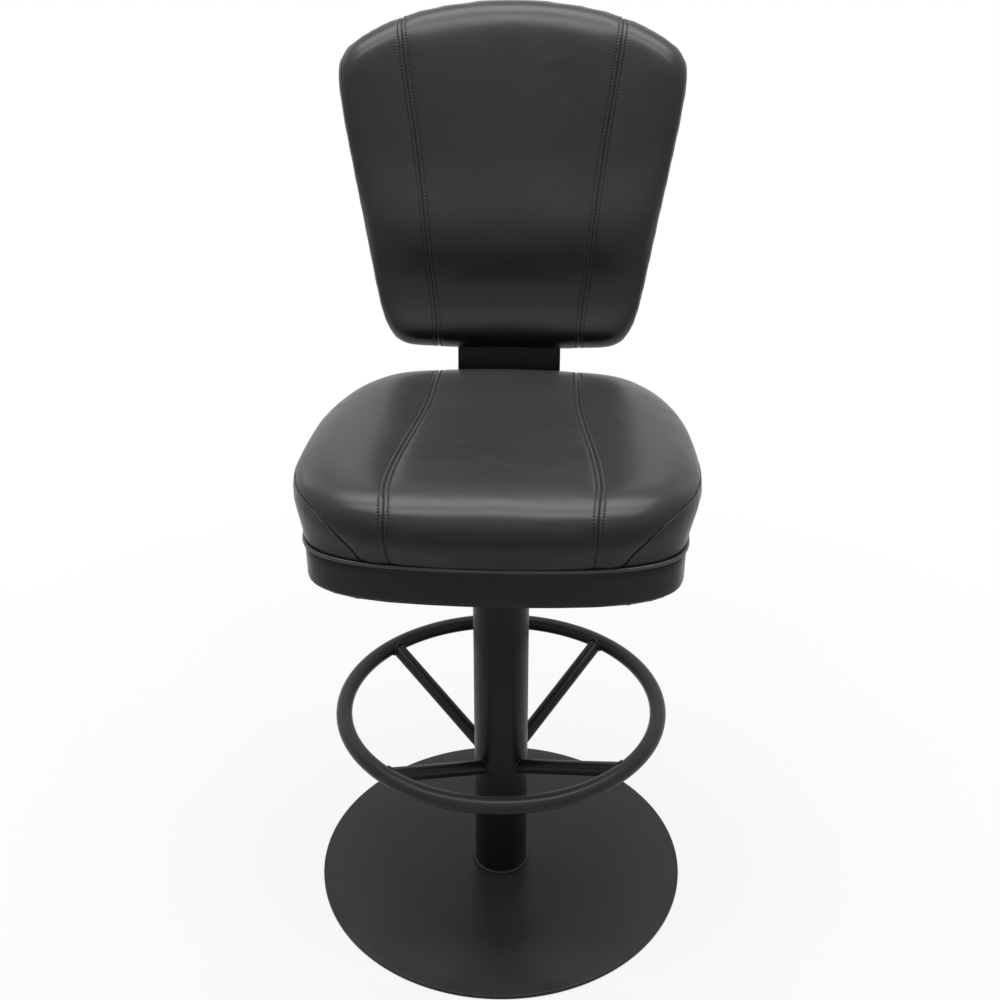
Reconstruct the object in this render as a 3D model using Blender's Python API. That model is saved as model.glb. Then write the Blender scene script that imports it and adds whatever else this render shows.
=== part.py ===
"""Swivel stool with a back, on a round base plate with a foot ring.

The origin is on the floor under the column. +Z is up, the sitter faces -Y, and the seat turns about Z.
Sizes are in metres and angles in degrees.
"""
import math

import bmesh
import bpy
import numpy as np
from mathutils import Matrix, Vector

# Fits that many pieces share
CONTACT_GAP = 0.0003
CUT_OVERRUN = 0.003
VINYL_THICKNESS = 0.0012
PIPING_RADIUS = 0.0025
MERGE_DISTANCE = 0.000001

# Base plate and the rubber sheet under it
FLOOR_PAD_THICKNESS = 0.0017
FLOOR_PAD_INSET = 0.008
BASE_RADIUS = 0.255
BASE_THICKNESS = 0.006
BASE_EDGE_ROUND = 0.0012

# Column
COLUMN_RADIUS = 0.0365
COLUMN_WALL = 0.003
COLUMN_WELD_LEG = 0.004
WELD_THROAT_SHARE = 1.0 / 3.0

# Foot ring and its spokes
RING_RADIUS = 0.2105
RING_HEIGHT = 0.276
RING_TUBE_RADIUS = 0.01065
RING_TUBE_WALL = 0.002
RING_VENT_RADIUS = 0.002
SPOKE_COUNT = 4
SPOKE_RADIUS = 0.0095
SPOKE_DROP = 0.088
SPOKE_FIRST_ANGLE = 50.0

# Swivel: spindle, bushes, housing and thrust bearing
SPINDLE_RADIUS = 0.015
SPINDLE_TAIL = 0.006
RUNNING_CLEARANCE = 0.0003
BUSH_WALL = 0.0035
BUSH_LENGTH = 0.018
BUSH_STEP = 0.0015
HOUSING_LENGTH = 0.060
HOUSING_FLANGE = 0.004
RACE_RADIUS = 0.030
RACE_BORE_CLEARANCE = 0.001
RACE_THICKNESS = 0.003
BALL_RADIUS = 0.0025
BALL_COUNT = 10
CAGE_THICKNESS = 0.002
CAGE_INSET = 0.001
COLLAR_RADIUS = 0.022
COLLAR_THICKNESS = 0.004
CLIP_THICKNESS = 0.0016
CLIP_DEPTH = 0.0015
CLIP_STAND = 0.004
CLIP_OPENING = 0.006
WASHER_THICKNESS = 0.0025
WASHER_WIDTH = 0.008

# Hexagon bolts and their tee nuts
BOLT_RADIUS = 0.004
BOLT_HEAD_FLATS = 0.013
BOLT_HEAD_HEIGHT = 0.0045
BOLT_HOLE_CLEARANCE = 0.0005
NUT_WALL = 0.001
NUT_FLANGE_RADIUS = 0.010
NUT_FLANGE_THICKNESS = 0.0015
NUT_END_MARGIN = 0.0015
NUT_SINK = 0.0002

# Seat: heights are above the underside of the seat board
SEAT_BOARD_HEIGHT = 0.606
SEAT_BOARD_THICKNESS = 0.012
SEAT_HALF_WIDTH = 0.233
SEAT_FRONT = 0.250
SEAT_REAR = 0.216
SEAT_WIDE_HEIGHT = 0.050
SEAT_SHOULDER_HEIGHT = 0.078
SEAT_SHOULDER_WIDTH = 0.038
SEAT_CROWN = 0.0065
SEAT_SEAM_FRONT = 0.112
SEAT_SEAM_REAR = 0.092
PIPING_DROP = 0.001

# Skirt under the seat
SKIRT_HALF_WIDTH = 0.2145
SKIRT_FRONT = 0.229
SKIRT_REAR = 0.196
SKIRT_DEPTH = 0.046
SKIRT_WALL = 0.015
SKIRT_HEM = 0.007
SKIRT_EDGE_ROUND = 0.002
BOTTOM_COVER_THICKNESS = 0.003
BOTTOM_COVER_INSET = 0.006
BOTTOM_COVER_CLEARANCE = 0.004
SCREW_RADIUS = 0.002
SCREW_LENGTH = 0.014
SCREW_HEAD_RADIUS = 0.004
SCREW_HEAD_HEIGHT = 0.002
SCREW_INSET = 0.012
SCREW_COUNT = 4
SCREW_FIRST_PLACE_SHARE = 0.5

# Seat plate
SEAT_PLATE_WIDTH = 0.180
SEAT_PLATE_THICKNESS = 0.006
SEAT_PLATE_CORNER = 0.012
SEAT_PLATE_CORNER_STEPS = 3
ROUND_BEVEL_SHARE = 0.5
SEAT_BOLT_OFFSET = 0.070

# Back bar
BAR_WIDTH = 0.140
BAR_THICKNESS = 0.006
BAR_EDGE_CHAMFER = 0.0008
BAR_BEND_RADIUS = 0.022
BAR_BEND_STEPS = 6
BAR_FRONT_END = 0.105
BAR_BOLT_HALF_SPACING = 0.045
BAR_BOLT_FIRST = 0.125
BAR_BOLT_PITCH = 0.035
BAR_SLOT_CLEARANCE = 0.0015

# Back: its own frame runs X across, Y up along the board and Z forward from the board's rear face
BACK_LEAN = 10.0
BACK_FOOT_REACH = 0.2423
BACK_FOOT_RISE = 0.0928
BACK_BOARD_THICKNESS = 0.020
BACK_HALF_WIDTH = 0.222
BACK_LENGTH = 0.440
BACK_DRAW_IN = 0.007
BACK_SHOULDER_HEIGHT = 0.046
BACK_SHOULDER_WIDTH = 0.026
BACK_CROWN = 0.010
BACK_SEAM_FOOT = 0.094
BACK_SEAM_TOP = 0.135
BACK_SEAM_BOW = 0.0034
LUMBAR_HEIGHT = 0.165
LUMBAR_SPREAD = 0.065
LUMBAR_BULGE = 0.010
BAR_BOARD_STAND = 0.0055
BAR_RISE = 0.195
BACK_BOLT_FIRST = 0.070
BACK_BOLT_PITCH = 0.085
REAR_PANEL_THICKNESS = 0.004
REAR_PANEL_CROWN = 0.007
REAR_PANEL_RING_SHARES = ((1.0, 0.0), (0.9, 0.5), (0.6, 0.85))

# Sewn seams and the mesh of the cushions
SEAM_DEPTH = 0.0026
SEAM_HALF_WIDTH = 0.006
FOAM_BASE_INSET = 0.003
CENTRE_COLUMNS = 3
OUTER_COLUMN_SHARES = (0.45, 0.8, 1.0)
SIDE_ROWS = 10
SHOULDER_RINGS = 3
CURVE_STEPS = 16

# Facets round a turned piece
FACETS_LARGE = 64
FACETS_RING = 48
FACETS_COLUMN = 40
FACETS_SWIVEL = 20
FACETS_TUBE = 8
FACETS_SPOKE = 14
FACETS_BOLT = 12
FACETS_NUT = 8
FACETS_RING_BORE = (24, 5)
FACETS_BALL = (6, 4)

# Outlines from the front centre to the rear centre, as shares of half the width and of the reach,
# and the places in each table where its two corners are
SEAT_OUTLINE_SHARES = (
    (0.0, -1.0), (0.426, -0.98), (0.723, -0.896), (0.906, -0.72), (0.987, -0.472), (1.0, -0.2),
    (0.974, 0.208), (0.885, 0.602), (0.702, 0.87), (0.383, 0.977), (0.0, 1.0),
)
SEAT_CORNER_PLACES = (3.0, 8.0)
SKIRT_OUTLINE_SHARES = (
    (0.0, -1.0), (0.427, -0.983), (0.711, -0.939), (0.891, -0.856), (0.976, -0.734), (1.0, -0.524),
    (1.0, -0.175), (0.976, 0.23), (0.891, 0.622), (0.701, 0.883), (0.379, 0.98), (0.0, 1.0),
)
SKIRT_CORNER_PLACES = (3.0, 9.0)
BACK_OUTLINE_SHARES = (
    (0.0, 0.0), (0.468, 0.0), (0.6325, 0.009), (0.7216, 0.0523), (0.7795, 0.15), (0.8686, 0.3886),
    (0.9532, 0.618), (0.998, 0.773), (0.989, 0.836), (0.904, 0.886), (0.668, 0.9466),
    (0.356, 0.986), (0.0, 1.0),
)
BACK_CORNER_PLACES = (3.0, 8.5)

# Finishes as linear colour, roughness and metallic value
FINISHES = {
    "powder_coat": ((0.012, 0.012, 0.013), 0.45, 0.0),
    "vinyl": ((0.016, 0.016, 0.017), 0.42, 0.0),
    "bright_steel": ((0.55, 0.55, 0.56), 0.35, 1.0),
    "zinc_plate": ((0.48, 0.49, 0.50), 0.40, 1.0),
    "bearing_steel": ((0.60, 0.60, 0.61), 0.22, 1.0),
    "acetal": ((0.80, 0.79, 0.75), 0.50, 0.0),
    "rubber": ((0.02, 0.02, 0.02), 0.85, 0.0),
    "plywood": ((0.55, 0.38, 0.21), 0.75, 0.0),
    "hardboard": ((0.05, 0.045, 0.04), 0.80, 0.0),
    "foam": ((0.75, 0.70, 0.50), 0.95, 0.0),
}

SMOOTH_ANGLE = math.radians(35.0)


for old_object in list(bpy.data.objects):
    bpy.data.objects.remove(old_object, do_unlink=True)


# Objects, materials and cutters

def add_finish(obj, finish):
    """Give an object its own material."""
    colour, roughness, metallic = FINISHES[finish]
    material = bpy.data.materials.new(f"{obj.name}_{finish}")
    material.use_nodes = True
    shader = material.node_tree.nodes["Principled BSDF"]
    shader.inputs["Base Color"].default_value = (*colour, 1.0)
    shader.inputs["Roughness"].default_value = roughness
    shader.inputs["Metallic"].default_value = metallic
    obj.data.materials.append(material)


def add_object(name, bm, finish=None, parent=None):
    """Turn a bmesh into an object, with a material of its own if a finish is named."""
    mesh = bpy.data.meshes.new(name)
    bm.to_mesh(mesh)
    bm.free()
    mesh.shade_smooth()
    mesh.set_sharp_from_angle(angle=SMOOTH_ANGLE)
    obj = bpy.data.objects.new(name, mesh)
    bpy.context.scene.collection.objects.link(obj)
    obj.parent = parent
    if finish:
        add_finish(obj, finish)
    return obj


def add_cutter(name, bm, parent=None):
    """A shape that only cuts others."""
    obj = add_object(name, bm, parent=parent)
    obj.hide_render = True
    obj.display_type = "WIRE"
    return obj


def cut(obj, cutter, operation="DIFFERENCE"):
    modifier = obj.modifiers.new(cutter.name, "BOOLEAN")
    modifier.operation = operation
    modifier.object = cutter


def add_empty(name, location, tilt=0.0):
    """A frame that pieces are placed in, turned about its X axis."""
    empty = bpy.data.objects.new(name, None)
    bpy.context.scene.collection.objects.link(empty)
    empty.location = location
    empty.rotation_euler = (math.radians(tilt), 0.0, 0.0)
    return empty


# Shapes

def close_up(bm):
    """Merge doubles and point the faces of a closed mesh outward."""
    bmesh.ops.remove_doubles(bm, verts=bm.verts, dist=MERGE_DISTANCE)
    bmesh.ops.recalc_face_normals(bm, faces=bm.faces)
    return bm


def turned(profile, facets, ring=False, centre=(0.0, 0.0)):
    """Spin a profile of (radius, height) points about a vertical axis; a ring's profile is closed."""
    bm = bmesh.new()
    verts = [bm.verts.new((centre[0] + radius, centre[1], height)) for radius, height in profile]
    pairs = list(zip(verts, verts[1:]))
    if ring:
        pairs.append((verts[-1], verts[0]))
    edges = [bm.edges.new(pair) for pair in pairs]
    bmesh.ops.spin(
        bm, geom=verts + edges, cent=(centre[0], centre[1], 0.0), axis=(0.0, 0.0, 1.0),
        dvec=(0.0, 0.0, 0.0), angle=math.tau, steps=facets, use_merge=True, use_duplicate=False,
    )
    return close_up(bm)


def tube_profile(inner, outer, low, high):
    return [(inner, low), (outer, low), (outer, high), (inner, high)]


def rod_profile(radius, low, high):
    return [(0.0, low), (radius, low), (radius, high), (0.0, high)]


def torus(major, minor, height, facets, sides):
    turn = math.tau / sides
    profile = [
        (major + minor * math.cos(turn * side), height + minor * math.sin(turn * side))
        for side in range(sides)
    ]
    return turned(profile, facets, ring=True)


def box(low, high):
    bm = bmesh.new()
    bmesh.ops.create_cube(bm, size=1.0)
    for vert in bm.verts:
        for axis in range(3):
            vert.co[axis] = high[axis] if vert.co[axis] > 0.0 else low[axis]
    return bm


def join(*parts):
    """Put several meshes into one bmesh."""
    whole = bmesh.new()
    for part in parts:
        mesh = bpy.data.meshes.new("part")
        part.to_mesh(mesh)
        part.free()
        whole.from_mesh(mesh)
        bpy.data.meshes.remove(mesh)
    return whole


def slab(points, low, high):
    """A flat board of the given outline."""
    bm = bmesh.new()
    lower = [bm.verts.new((x, y, low)) for x, y in points]
    bm.faces.new(lower)
    moved = bmesh.ops.extrude_face_region(bm, geom=list(bm.faces))
    lifted = [item for item in moved["geom"] if isinstance(item, bmesh.types.BMVert)]
    bmesh.ops.translate(bm, verts=lifted, vec=(0.0, 0.0, high - low))
    return close_up(bm)


def hoop(loop, profile):
    """Carry a closed profile of (outward, height) points round an outline."""
    bm = bmesh.new()
    rings = []
    for outward, height in profile:
        rings.append([bm.verts.new((*(point + normal * outward), height)) for point, normal in loop])
    count = len(loop)
    for ring, following in zip(rings, rings[1:] + rings[:1]):
        for step in range(count):
            after = (step + 1) % count
            bm.faces.new((ring[step], ring[after], following[after], following[step]))
    return close_up(bm)


def piping(name, points, closed, parent):
    """A round bead of vinyl along a line of points."""
    curve = bpy.data.curves.new(name, "CURVE")
    curve.dimensions = "3D"
    curve.bevel_depth = PIPING_RADIUS
    curve.bevel_resolution = 1
    curve.use_fill_caps = not closed
    spline = curve.splines.new("POLY")
    spline.points.add(len(points) - 1)
    for target, point in zip(spline.points, points):
        target.co = (*point, 1.0)
    spline.use_cyclic_u = closed
    obj = bpy.data.objects.new(name, curve)
    bpy.context.scene.collection.objects.link(obj)
    obj.parent = parent
    add_finish(obj, "vinyl")
    return obj


# Outlines of the cushions: a smooth half from the front centre to the rear centre, then its mirror

def smooth_half(shares, half_width, front, rear):
    """A curve through the outline's points, with its outward normals."""
    points = [
        Vector((share_x * half_width, share_y * (front if share_y < 0.0 else rear)))
        for share_x, share_y in shares
    ]
    before = Vector((-points[1].x, points[1].y))
    after = Vector((-points[-2].x, points[-2].y))
    chain = [before, *points, after]
    samples = []
    for index in range(1, len(chain) - 2):
        for step in range(CURVE_STEPS):
            samples.append(catmull_rom(chain[index - 1:index + 3], step / CURVE_STEPS))
    samples.append(points[-1])
    line = np.array([tuple(sample) for sample in samples])
    tangent = np.gradient(line, axis=0)
    tangent[0] = tangent[-1] = (1.0, 0.0)
    tangent[-1, 0] = -1.0
    normal = np.stack([tangent[:, 1], -tangent[:, 0]], axis=1)
    normal /= np.linalg.norm(normal, axis=1)[:, None]
    return line, normal


def catmull_rom(four, share):
    before, start, end, after = four
    return 0.5 * (
        2.0 * start
        + (end - before) * share
        + (2.0 * before - 5.0 * start + 4.0 * end - after) * share ** 2
        + (3.0 * start - before - 3.0 * end + after) * share ** 3
    )


def column_offsets(seam, edge):
    """Where the mesh's columns cross a row, from the centre to the edge, with three at the seam."""
    lip = seam - SEAM_HALF_WIDTH
    far_lip = seam + SEAM_HALF_WIDTH
    inner = [lip * step / CENTRE_COLUMNS for step in range(CENTRE_COLUMNS)]
    outer = [far_lip + (edge - far_lip) * share for share in OUTER_COLUMN_SHARES]
    return inner + [lip, seam, far_lip] + outer


SEAM_COLUMN = CENTRE_COLUMNS + 1
LAST_COLUMN = CENTRE_COLUMNS + 2 + len(OUTER_COLUMN_SHARES)


def loop_keys():
    """Grid places (column, row) round the edge, anticlockwise from the front centre."""
    columns = range(LAST_COLUMN + 1)
    keys = [(column, 0) for column in columns]
    keys += [(LAST_COLUMN, row) for row in range(1, SIDE_ROWS)]
    keys += [(column, SIDE_ROWS) for column in reversed(columns)]
    mirrored = [(-column, row) for column, row in reversed(keys) if column]
    return keys + mirrored


def row_shares():
    """How far along its side each row lies; rows are closer near the corners."""
    even = np.linspace(0.0, 1.0, SIDE_ROWS + 1)
    return (even + eased(even)) / 2.0


def outline_loop(half, corners, seams):
    """Points and outward normals round the whole outline, one for each key."""
    line, normal = half
    turns = [int(corner * CURVE_STEPS) for corner in corners]
    front = column_offsets(seams[0], line[turns[0], 0])
    rear = column_offsets(seams[1], line[turns[1], 0])
    numbers = np.arange(len(line))
    side = line[turns[0], 1] + (line[turns[1], 1] - line[turns[0], 1]) * row_shares()
    places = list(np.interp(front, line[:turns[0] + 1, 0], numbers[:turns[0] + 1]))
    places += list(np.interp(side[1:-1], line[turns[0]:turns[1] + 1, 1], numbers[turns[0]:turns[1] + 1]))
    falling = line[turns[1]:, 0][::-1]
    places += list(np.interp(rear[::-1], falling, numbers[turns[1]:][::-1]))
    right = [
        (
            Vector((np.interp(place, numbers, line[:, 0]), np.interp(place, numbers, line[:, 1]))),
            Vector((np.interp(place, numbers, normal[:, 0]), np.interp(place, numbers, normal[:, 1]))),
        )
        for place in places
    ]
    left = [
        (Vector((-point.x, point.y)), Vector((-direction.x, direction.y)))
        for (point, direction), key in zip(reversed(right), reversed(loop_keys()[:len(right)]))
        if key[0]
    ]
    return right + left


def inset(loop, distance):
    return [(point - normal * distance, normal) for point, normal in loop]


def outline_points(loop):
    return [tuple(point) for point, normal in loop]


def eased(share):
    return share * share * (3.0 - 2.0 * share)


# Cushions

def cushion_surface(spec):
    """The outer skin of a cushion: drawn-in sides, a round shoulder, a crowned face and sewn seams."""
    bm = bmesh.new()
    foot, wide = spec["foot"], spec["wide"]
    crown = inset(wide, spec["shoulder_width"])
    rings = []
    belly = spec["under_foam"] + spec["belly"]
    for height in belly:
        fall = (spec["wide_height"] - height) / (spec["wide_height"] - belly[0])
        share = math.sqrt(1.0 - fall * fall)
        rings.append([
            bm.verts.new((*low.lerp(out, share), height))
            for (low, direction), (out, direction_out) in zip(foot, wide)
        ])
    for step in range(1, SHOULDER_RINGS):
        angle = math.pi / 2.0 * step / SHOULDER_RINGS
        rise = spec["wide_height"] + (spec["shoulder_height"] - spec["wide_height"]) * math.sin(angle)
        rings.append([
            bm.verts.new((*edge.lerp(out, math.cos(angle)), rise))
            for (edge, direction), (out, direction_out) in zip(crown, wide)
        ])
    grid = crown_grid(bm, spec, crown)
    rings.append([grid[key] for key in loop_keys()])
    count = len(loop_keys())
    for ring, following in zip(rings, rings[1:]):
        for step in range(count):
            after = (step + 1) % count
            bm.faces.new((ring[step], ring[after], following[after], following[step]))
    for row in range(SIDE_ROWS):
        for column in range(-LAST_COLUMN, LAST_COLUMN):
            bm.faces.new((
                grid[column, row], grid[column + 1, row],
                grid[column + 1, row + 1], grid[column, row + 1],
            ))
    sew_seams(bm, rings, grid)
    bmesh.ops.triangulate(bm, faces=bm.faces)
    bm.normal_update()
    return bm, rings


def crown_grid(bm, spec, crown):
    """The face of the cushion as rows and columns; its columns follow the seams."""
    edge = dict(zip(loop_keys(), [point for point, normal in crown]))
    grid = {}
    for row in range(SIDE_ROWS + 1):
        side = edge[LAST_COLUMN, row]
        along = (side.y - edge[LAST_COLUMN, 0].y) / (edge[LAST_COLUMN, SIDE_ROWS].y - edge[LAST_COLUMN, 0].y)
        front_seam = edge[SEAM_COLUMN, 0].x
        rear_seam = edge[SEAM_COLUMN, SIDE_ROWS].x
        seam = front_seam + (rear_seam - front_seam) * spec["seam_course"](along)
        seam += spec["seam_bow"] * math.sin(math.pi * along)
        offsets = column_offsets(seam, side.x)
        for column in range(LAST_COLUMN + 1):
            near = edge[column, 0]
            far = edge[column, SIDE_ROWS]
            place = Vector((offsets[column], near.y + (far.y - near.y) * along))
            if (column, row) in edge:
                place = edge[column, row]
            across = place.x / side.x
            height = spec["shoulder_height"] + spec["rise"](across, along)
            for sign in (1, -1) if column else (1,):
                grid[sign * column, row] = bm.verts.new((sign * place.x, place.y, height))
    return grid


def sew_seams(bm, rings, grid):
    """Pull the seam columns inward, all the way round but for the foot."""
    bm.normal_update()
    keys = loop_keys()
    seam = {grid[sign * SEAM_COLUMN, row] for sign in (1, -1) for row in range(SIDE_ROWS + 1)}
    for ring in rings[1:]:
        seam |= {vert for vert, key in zip(ring, keys) if abs(key[0]) == SEAM_COLUMN}
    moves = [(vert, vert.normal.copy()) for vert in seam]
    for vert, normal in moves:
        vert.co -= normal * SEAM_DEPTH


def cushion_cover(name, spec, parent):
    """Vinyl skin over the foam."""
    bm, rings = cushion_surface(spec)
    cover = add_object(name, bm, "vinyl", parent)
    wall = cover.modifiers.new("vinyl thickness", "SOLIDIFY")
    wall.thickness = VINYL_THICKNESS
    wall.offset = -1.0
    return cover


def cushion_foam(name, spec, parent):
    """Foam block inside the cover, standing on the board."""
    bm, rings = cushion_surface(spec)
    lower_rings, base = rings[:len(spec["under_foam"])], rings[len(spec["under_foam"])]
    bmesh.ops.delete(bm, geom=[vert for ring in lower_rings for vert in ring], context="VERTS")
    depth = VINYL_THICKNESS + 2.0 * CONTACT_GAP
    moves = [(vert, vert.normal.copy()) for vert in bm.verts]
    for vert, normal in moves:
        vert.co -= normal * depth
    for vert, (point, normal) in zip(base, spec["wide"]):
        vert.co -= Vector((*normal, 0.0)) * FOAM_BASE_INSET
        vert.co.z = spec["board"] + CONTACT_GAP
    bm.faces.new(list(reversed(base)))
    bmesh.ops.triangulate(bm, faces=[face for face in bm.faces if len(face.verts) > 3])
    return add_object(name, close_up(bm), "foam", parent)


# Fasteners

def bolt_shape(grip, place):
    """Hexagon bolt with its head below zero and its shank up, moved to a place."""
    bm = bmesh.new()
    corner = BOLT_HEAD_FLATS / 2.0 / math.cos(math.pi / 6.0)
    turn = math.tau / FACETS_BOLT

    def ring(height, hexagon):
        verts = []
        for step in range(FACETS_BOLT):
            radius = BOLT_RADIUS
            if hexagon:
                radius = corner if step % 2 == 0 else corner * math.cos(math.pi / 6.0)
            verts.append(bm.verts.new((
                place[0] + radius * math.cos(turn * step),
                place[1] + radius * math.sin(turn * step),
                place[2] + height,
            )))
        return verts

    rings = [ring(-BOLT_HEAD_HEIGHT, True), ring(0.0, True), ring(0.0, False), ring(grip, False)]
    for lower, upper in zip(rings, rings[1:]):
        for step in range(FACETS_BOLT):
            after = (step + 1) % FACETS_BOLT
            bm.faces.new((lower[step], lower[after], upper[after], upper[step]))
    bm.faces.new(list(reversed(rings[0])))
    bm.faces.new(rings[-1])
    bmesh.ops.recalc_face_normals(bm, faces=bm.faces)
    return bm


NUT_BORE = (BOLT_RADIUS + CONTACT_GAP) / math.cos(math.pi / FACETS_NUT)
NUT_BARREL = NUT_BORE + NUT_WALL


def nut_shape(top, length, place):
    """Tee nut whose flange is sunk into the board's face at the given height."""
    flange = top - NUT_SINK
    profile = [
        (NUT_BORE, flange - length), (NUT_BARREL, flange - length),
        (NUT_BARREL, flange - NUT_FLANGE_THICKNESS), (NUT_FLANGE_RADIUS, flange - NUT_FLANGE_THICKNESS),
        (NUT_FLANGE_RADIUS, flange), (NUT_BORE, flange),
    ]
    return turned(profile, FACETS_NUT, ring=True, centre=place)


def nut_hole(low, top, place):
    """Stepped hole for a tee nut, as a cutter."""
    spread = CONTACT_GAP / math.cos(math.pi / FACETS_NUT)
    step = top - NUT_SINK - NUT_FLANGE_THICKNESS - CONTACT_GAP
    profile = [
        (0.0, low - CUT_OVERRUN), (NUT_BARREL + spread, low - CUT_OVERRUN), (NUT_BARREL + spread, step),
        (NUT_FLANGE_RADIUS + spread, step), (NUT_FLANGE_RADIUS + spread, top + CUT_OVERRUN),
        (0.0, top + CUT_OVERRUN),
    ]
    return turned(profile, FACETS_NUT, centre=place)


def bolt_hole(low, high, place):
    """Plain round hole for a bolt, as a cutter."""
    radius = (BOLT_RADIUS + BOLT_HOLE_CLEARANCE) / math.cos(math.pi / FACETS_BOLT)
    return turned(rod_profile(radius, low - CUT_OVERRUN, high + CUT_OVERRUN), FACETS_BOLT, centre=place)


def bolted_set(stem, places, seat_face, board_top, nut_length, parent):
    """Bolts up through a plate, each into its tee nut."""
    for number, place in enumerate(places, 1):
        grip = board_top - NUT_END_MARGIN - seat_face
        add_object(f"{stem}_bolt_{number}", bolt_shape(grip, (*place, seat_face)), "zinc_plate", parent)
        add_object(f"{stem}_tnut_{number}", nut_shape(board_top, nut_length, place), "zinc_plate", parent)


# Base plate and floor pad

BASE_UNDERSIDE = FLOOR_PAD_THICKNESS + CONTACT_GAP
BASE_TOP = BASE_UNDERSIDE + BASE_THICKNESS
pad_radius = BASE_RADIUS - FLOOR_PAD_INSET
add_object(
    "floor_pad", turned(rod_profile(pad_radius, 0.0, FLOOR_PAD_THICKNESS), FACETS_LARGE), "rubber",
)
base_profile = [
    (0.0, BASE_UNDERSIDE), (BASE_RADIUS - BASE_EDGE_ROUND, BASE_UNDERSIDE),
    (BASE_RADIUS, BASE_UNDERSIDE + BASE_EDGE_ROUND), (BASE_RADIUS, BASE_TOP - BASE_EDGE_ROUND),
    (BASE_RADIUS - BASE_EDGE_ROUND, BASE_TOP), (0.0, BASE_TOP),
]
add_object("base_plate", turned(base_profile, FACETS_LARGE), "powder_coat")

# Heights of the swivel, from the seat board down

SEAT_PLATE_TOP = SEAT_BOARD_HEIGHT - CONTACT_GAP
SEAT_PLATE_UNDERSIDE = SEAT_PLATE_TOP - SEAT_PLATE_THICKNESS
COLLAR_TOP = SEAT_PLATE_UNDERSIDE - CONTACT_GAP
COLLAR_UNDERSIDE = COLLAR_TOP - COLLAR_THICKNESS
UPPER_RACE_TOP = COLLAR_UNDERSIDE - CONTACT_GAP
UPPER_RACE_UNDERSIDE = UPPER_RACE_TOP - RACE_THICKNESS
BALL_HEIGHT = UPPER_RACE_UNDERSIDE - CONTACT_GAP - BALL_RADIUS
LOWER_RACE_TOP = BALL_HEIGHT - BALL_RADIUS - CONTACT_GAP
LOWER_RACE_UNDERSIDE = LOWER_RACE_TOP - RACE_THICKNESS
HOUSING_TOP = LOWER_RACE_UNDERSIDE - CONTACT_GAP
COLUMN_TOP = HOUSING_TOP - HOUSING_FLANGE - CONTACT_GAP
HOUSING_BOTTOM = HOUSING_TOP - HOUSING_LENGTH

# Column tube with its weld bead

column_bore = COLUMN_RADIUS - COLUMN_WALL
column_foot = BASE_TOP + CONTACT_GAP
weld_throat = COLUMN_WELD_LEG * WELD_THROAT_SHARE
column_profile = [
    (column_bore, column_foot), (COLUMN_RADIUS + COLUMN_WELD_LEG, column_foot),
    (COLUMN_RADIUS + weld_throat, column_foot + weld_throat),
    (COLUMN_RADIUS, column_foot + COLUMN_WELD_LEG), (COLUMN_RADIUS, COLUMN_TOP),
    (column_bore, COLUMN_TOP),
]
add_object("column_tube", turned(column_profile, FACETS_COLUMN, ring=True), "powder_coat")

# Foot ring: a bent tube with a vent hole on its underside

footring = add_object(
    "footring", torus(RING_RADIUS, RING_TUBE_RADIUS, RING_HEIGHT, FACETS_RING, FACETS_TUBE),
    "powder_coat",
)
ring_bore_facets, ring_bore_sides = FACETS_RING_BORE
ring_bore = add_cutter("cutter_ring_bore", torus(
    RING_RADIUS, RING_TUBE_RADIUS - RING_TUBE_WALL, RING_HEIGHT, ring_bore_facets, ring_bore_sides,
))
ring_vent = add_cutter("cutter_ring_vent", turned(
    rod_profile(RING_VENT_RADIUS, RING_HEIGHT - RING_TUBE_RADIUS - CUT_OVERRUN, RING_HEIGHT),
    FACETS_NUT, centre=(0.0, RING_RADIUS),
))
cut(footring, ring_bore)
cut(footring, ring_vent)

# Spokes: round bars, each cut to meet the ring and the column

column_clear = add_cutter("cutter_column", turned(
    rod_profile(COLUMN_RADIUS + CONTACT_GAP, BASE_TOP, RING_HEIGHT), FACETS_COLUMN,
))
ring_clear = add_cutter("cutter_footring", torus(
    RING_RADIUS, RING_TUBE_RADIUS + CONTACT_GAP, RING_HEIGHT, FACETS_RING, FACETS_TUBE,
))
spoke_fall = SPOKE_DROP / (RING_RADIUS - COLUMN_RADIUS)
for number in range(SPOKE_COUNT):
    angle = math.radians(SPOKE_FIRST_ANGLE) + math.tau * number / SPOKE_COUNT
    outward = Vector((math.cos(angle), math.sin(angle), 0.0))
    buried = COLUMN_RADIUS - SPOKE_RADIUS
    outer_end = outward * RING_RADIUS + Vector((0.0, 0.0, RING_HEIGHT))
    inner_end = outward * buried
    inner_end.z = RING_HEIGHT - spoke_fall * (RING_RADIUS - buried)
    middle = (outer_end + inner_end) / 2.0
    along = outer_end - inner_end
    bm = bmesh.new()
    bmesh.ops.create_cone(
        bm, cap_ends=True, segments=FACETS_SPOKE, radius1=SPOKE_RADIUS, radius2=SPOKE_RADIUS,
        depth=along.length,
        matrix=Matrix.Translation(middle) @ along.to_track_quat("Z", "Y").to_matrix().to_4x4(),
    )
    spoke = add_object(f"footring_spoke_{number + 1}", bm, "powder_coat")
    cut(spoke, column_clear)
    cut(spoke, ring_clear)

# Swivel housing: a turned insert that hangs in the column by its flange

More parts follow.
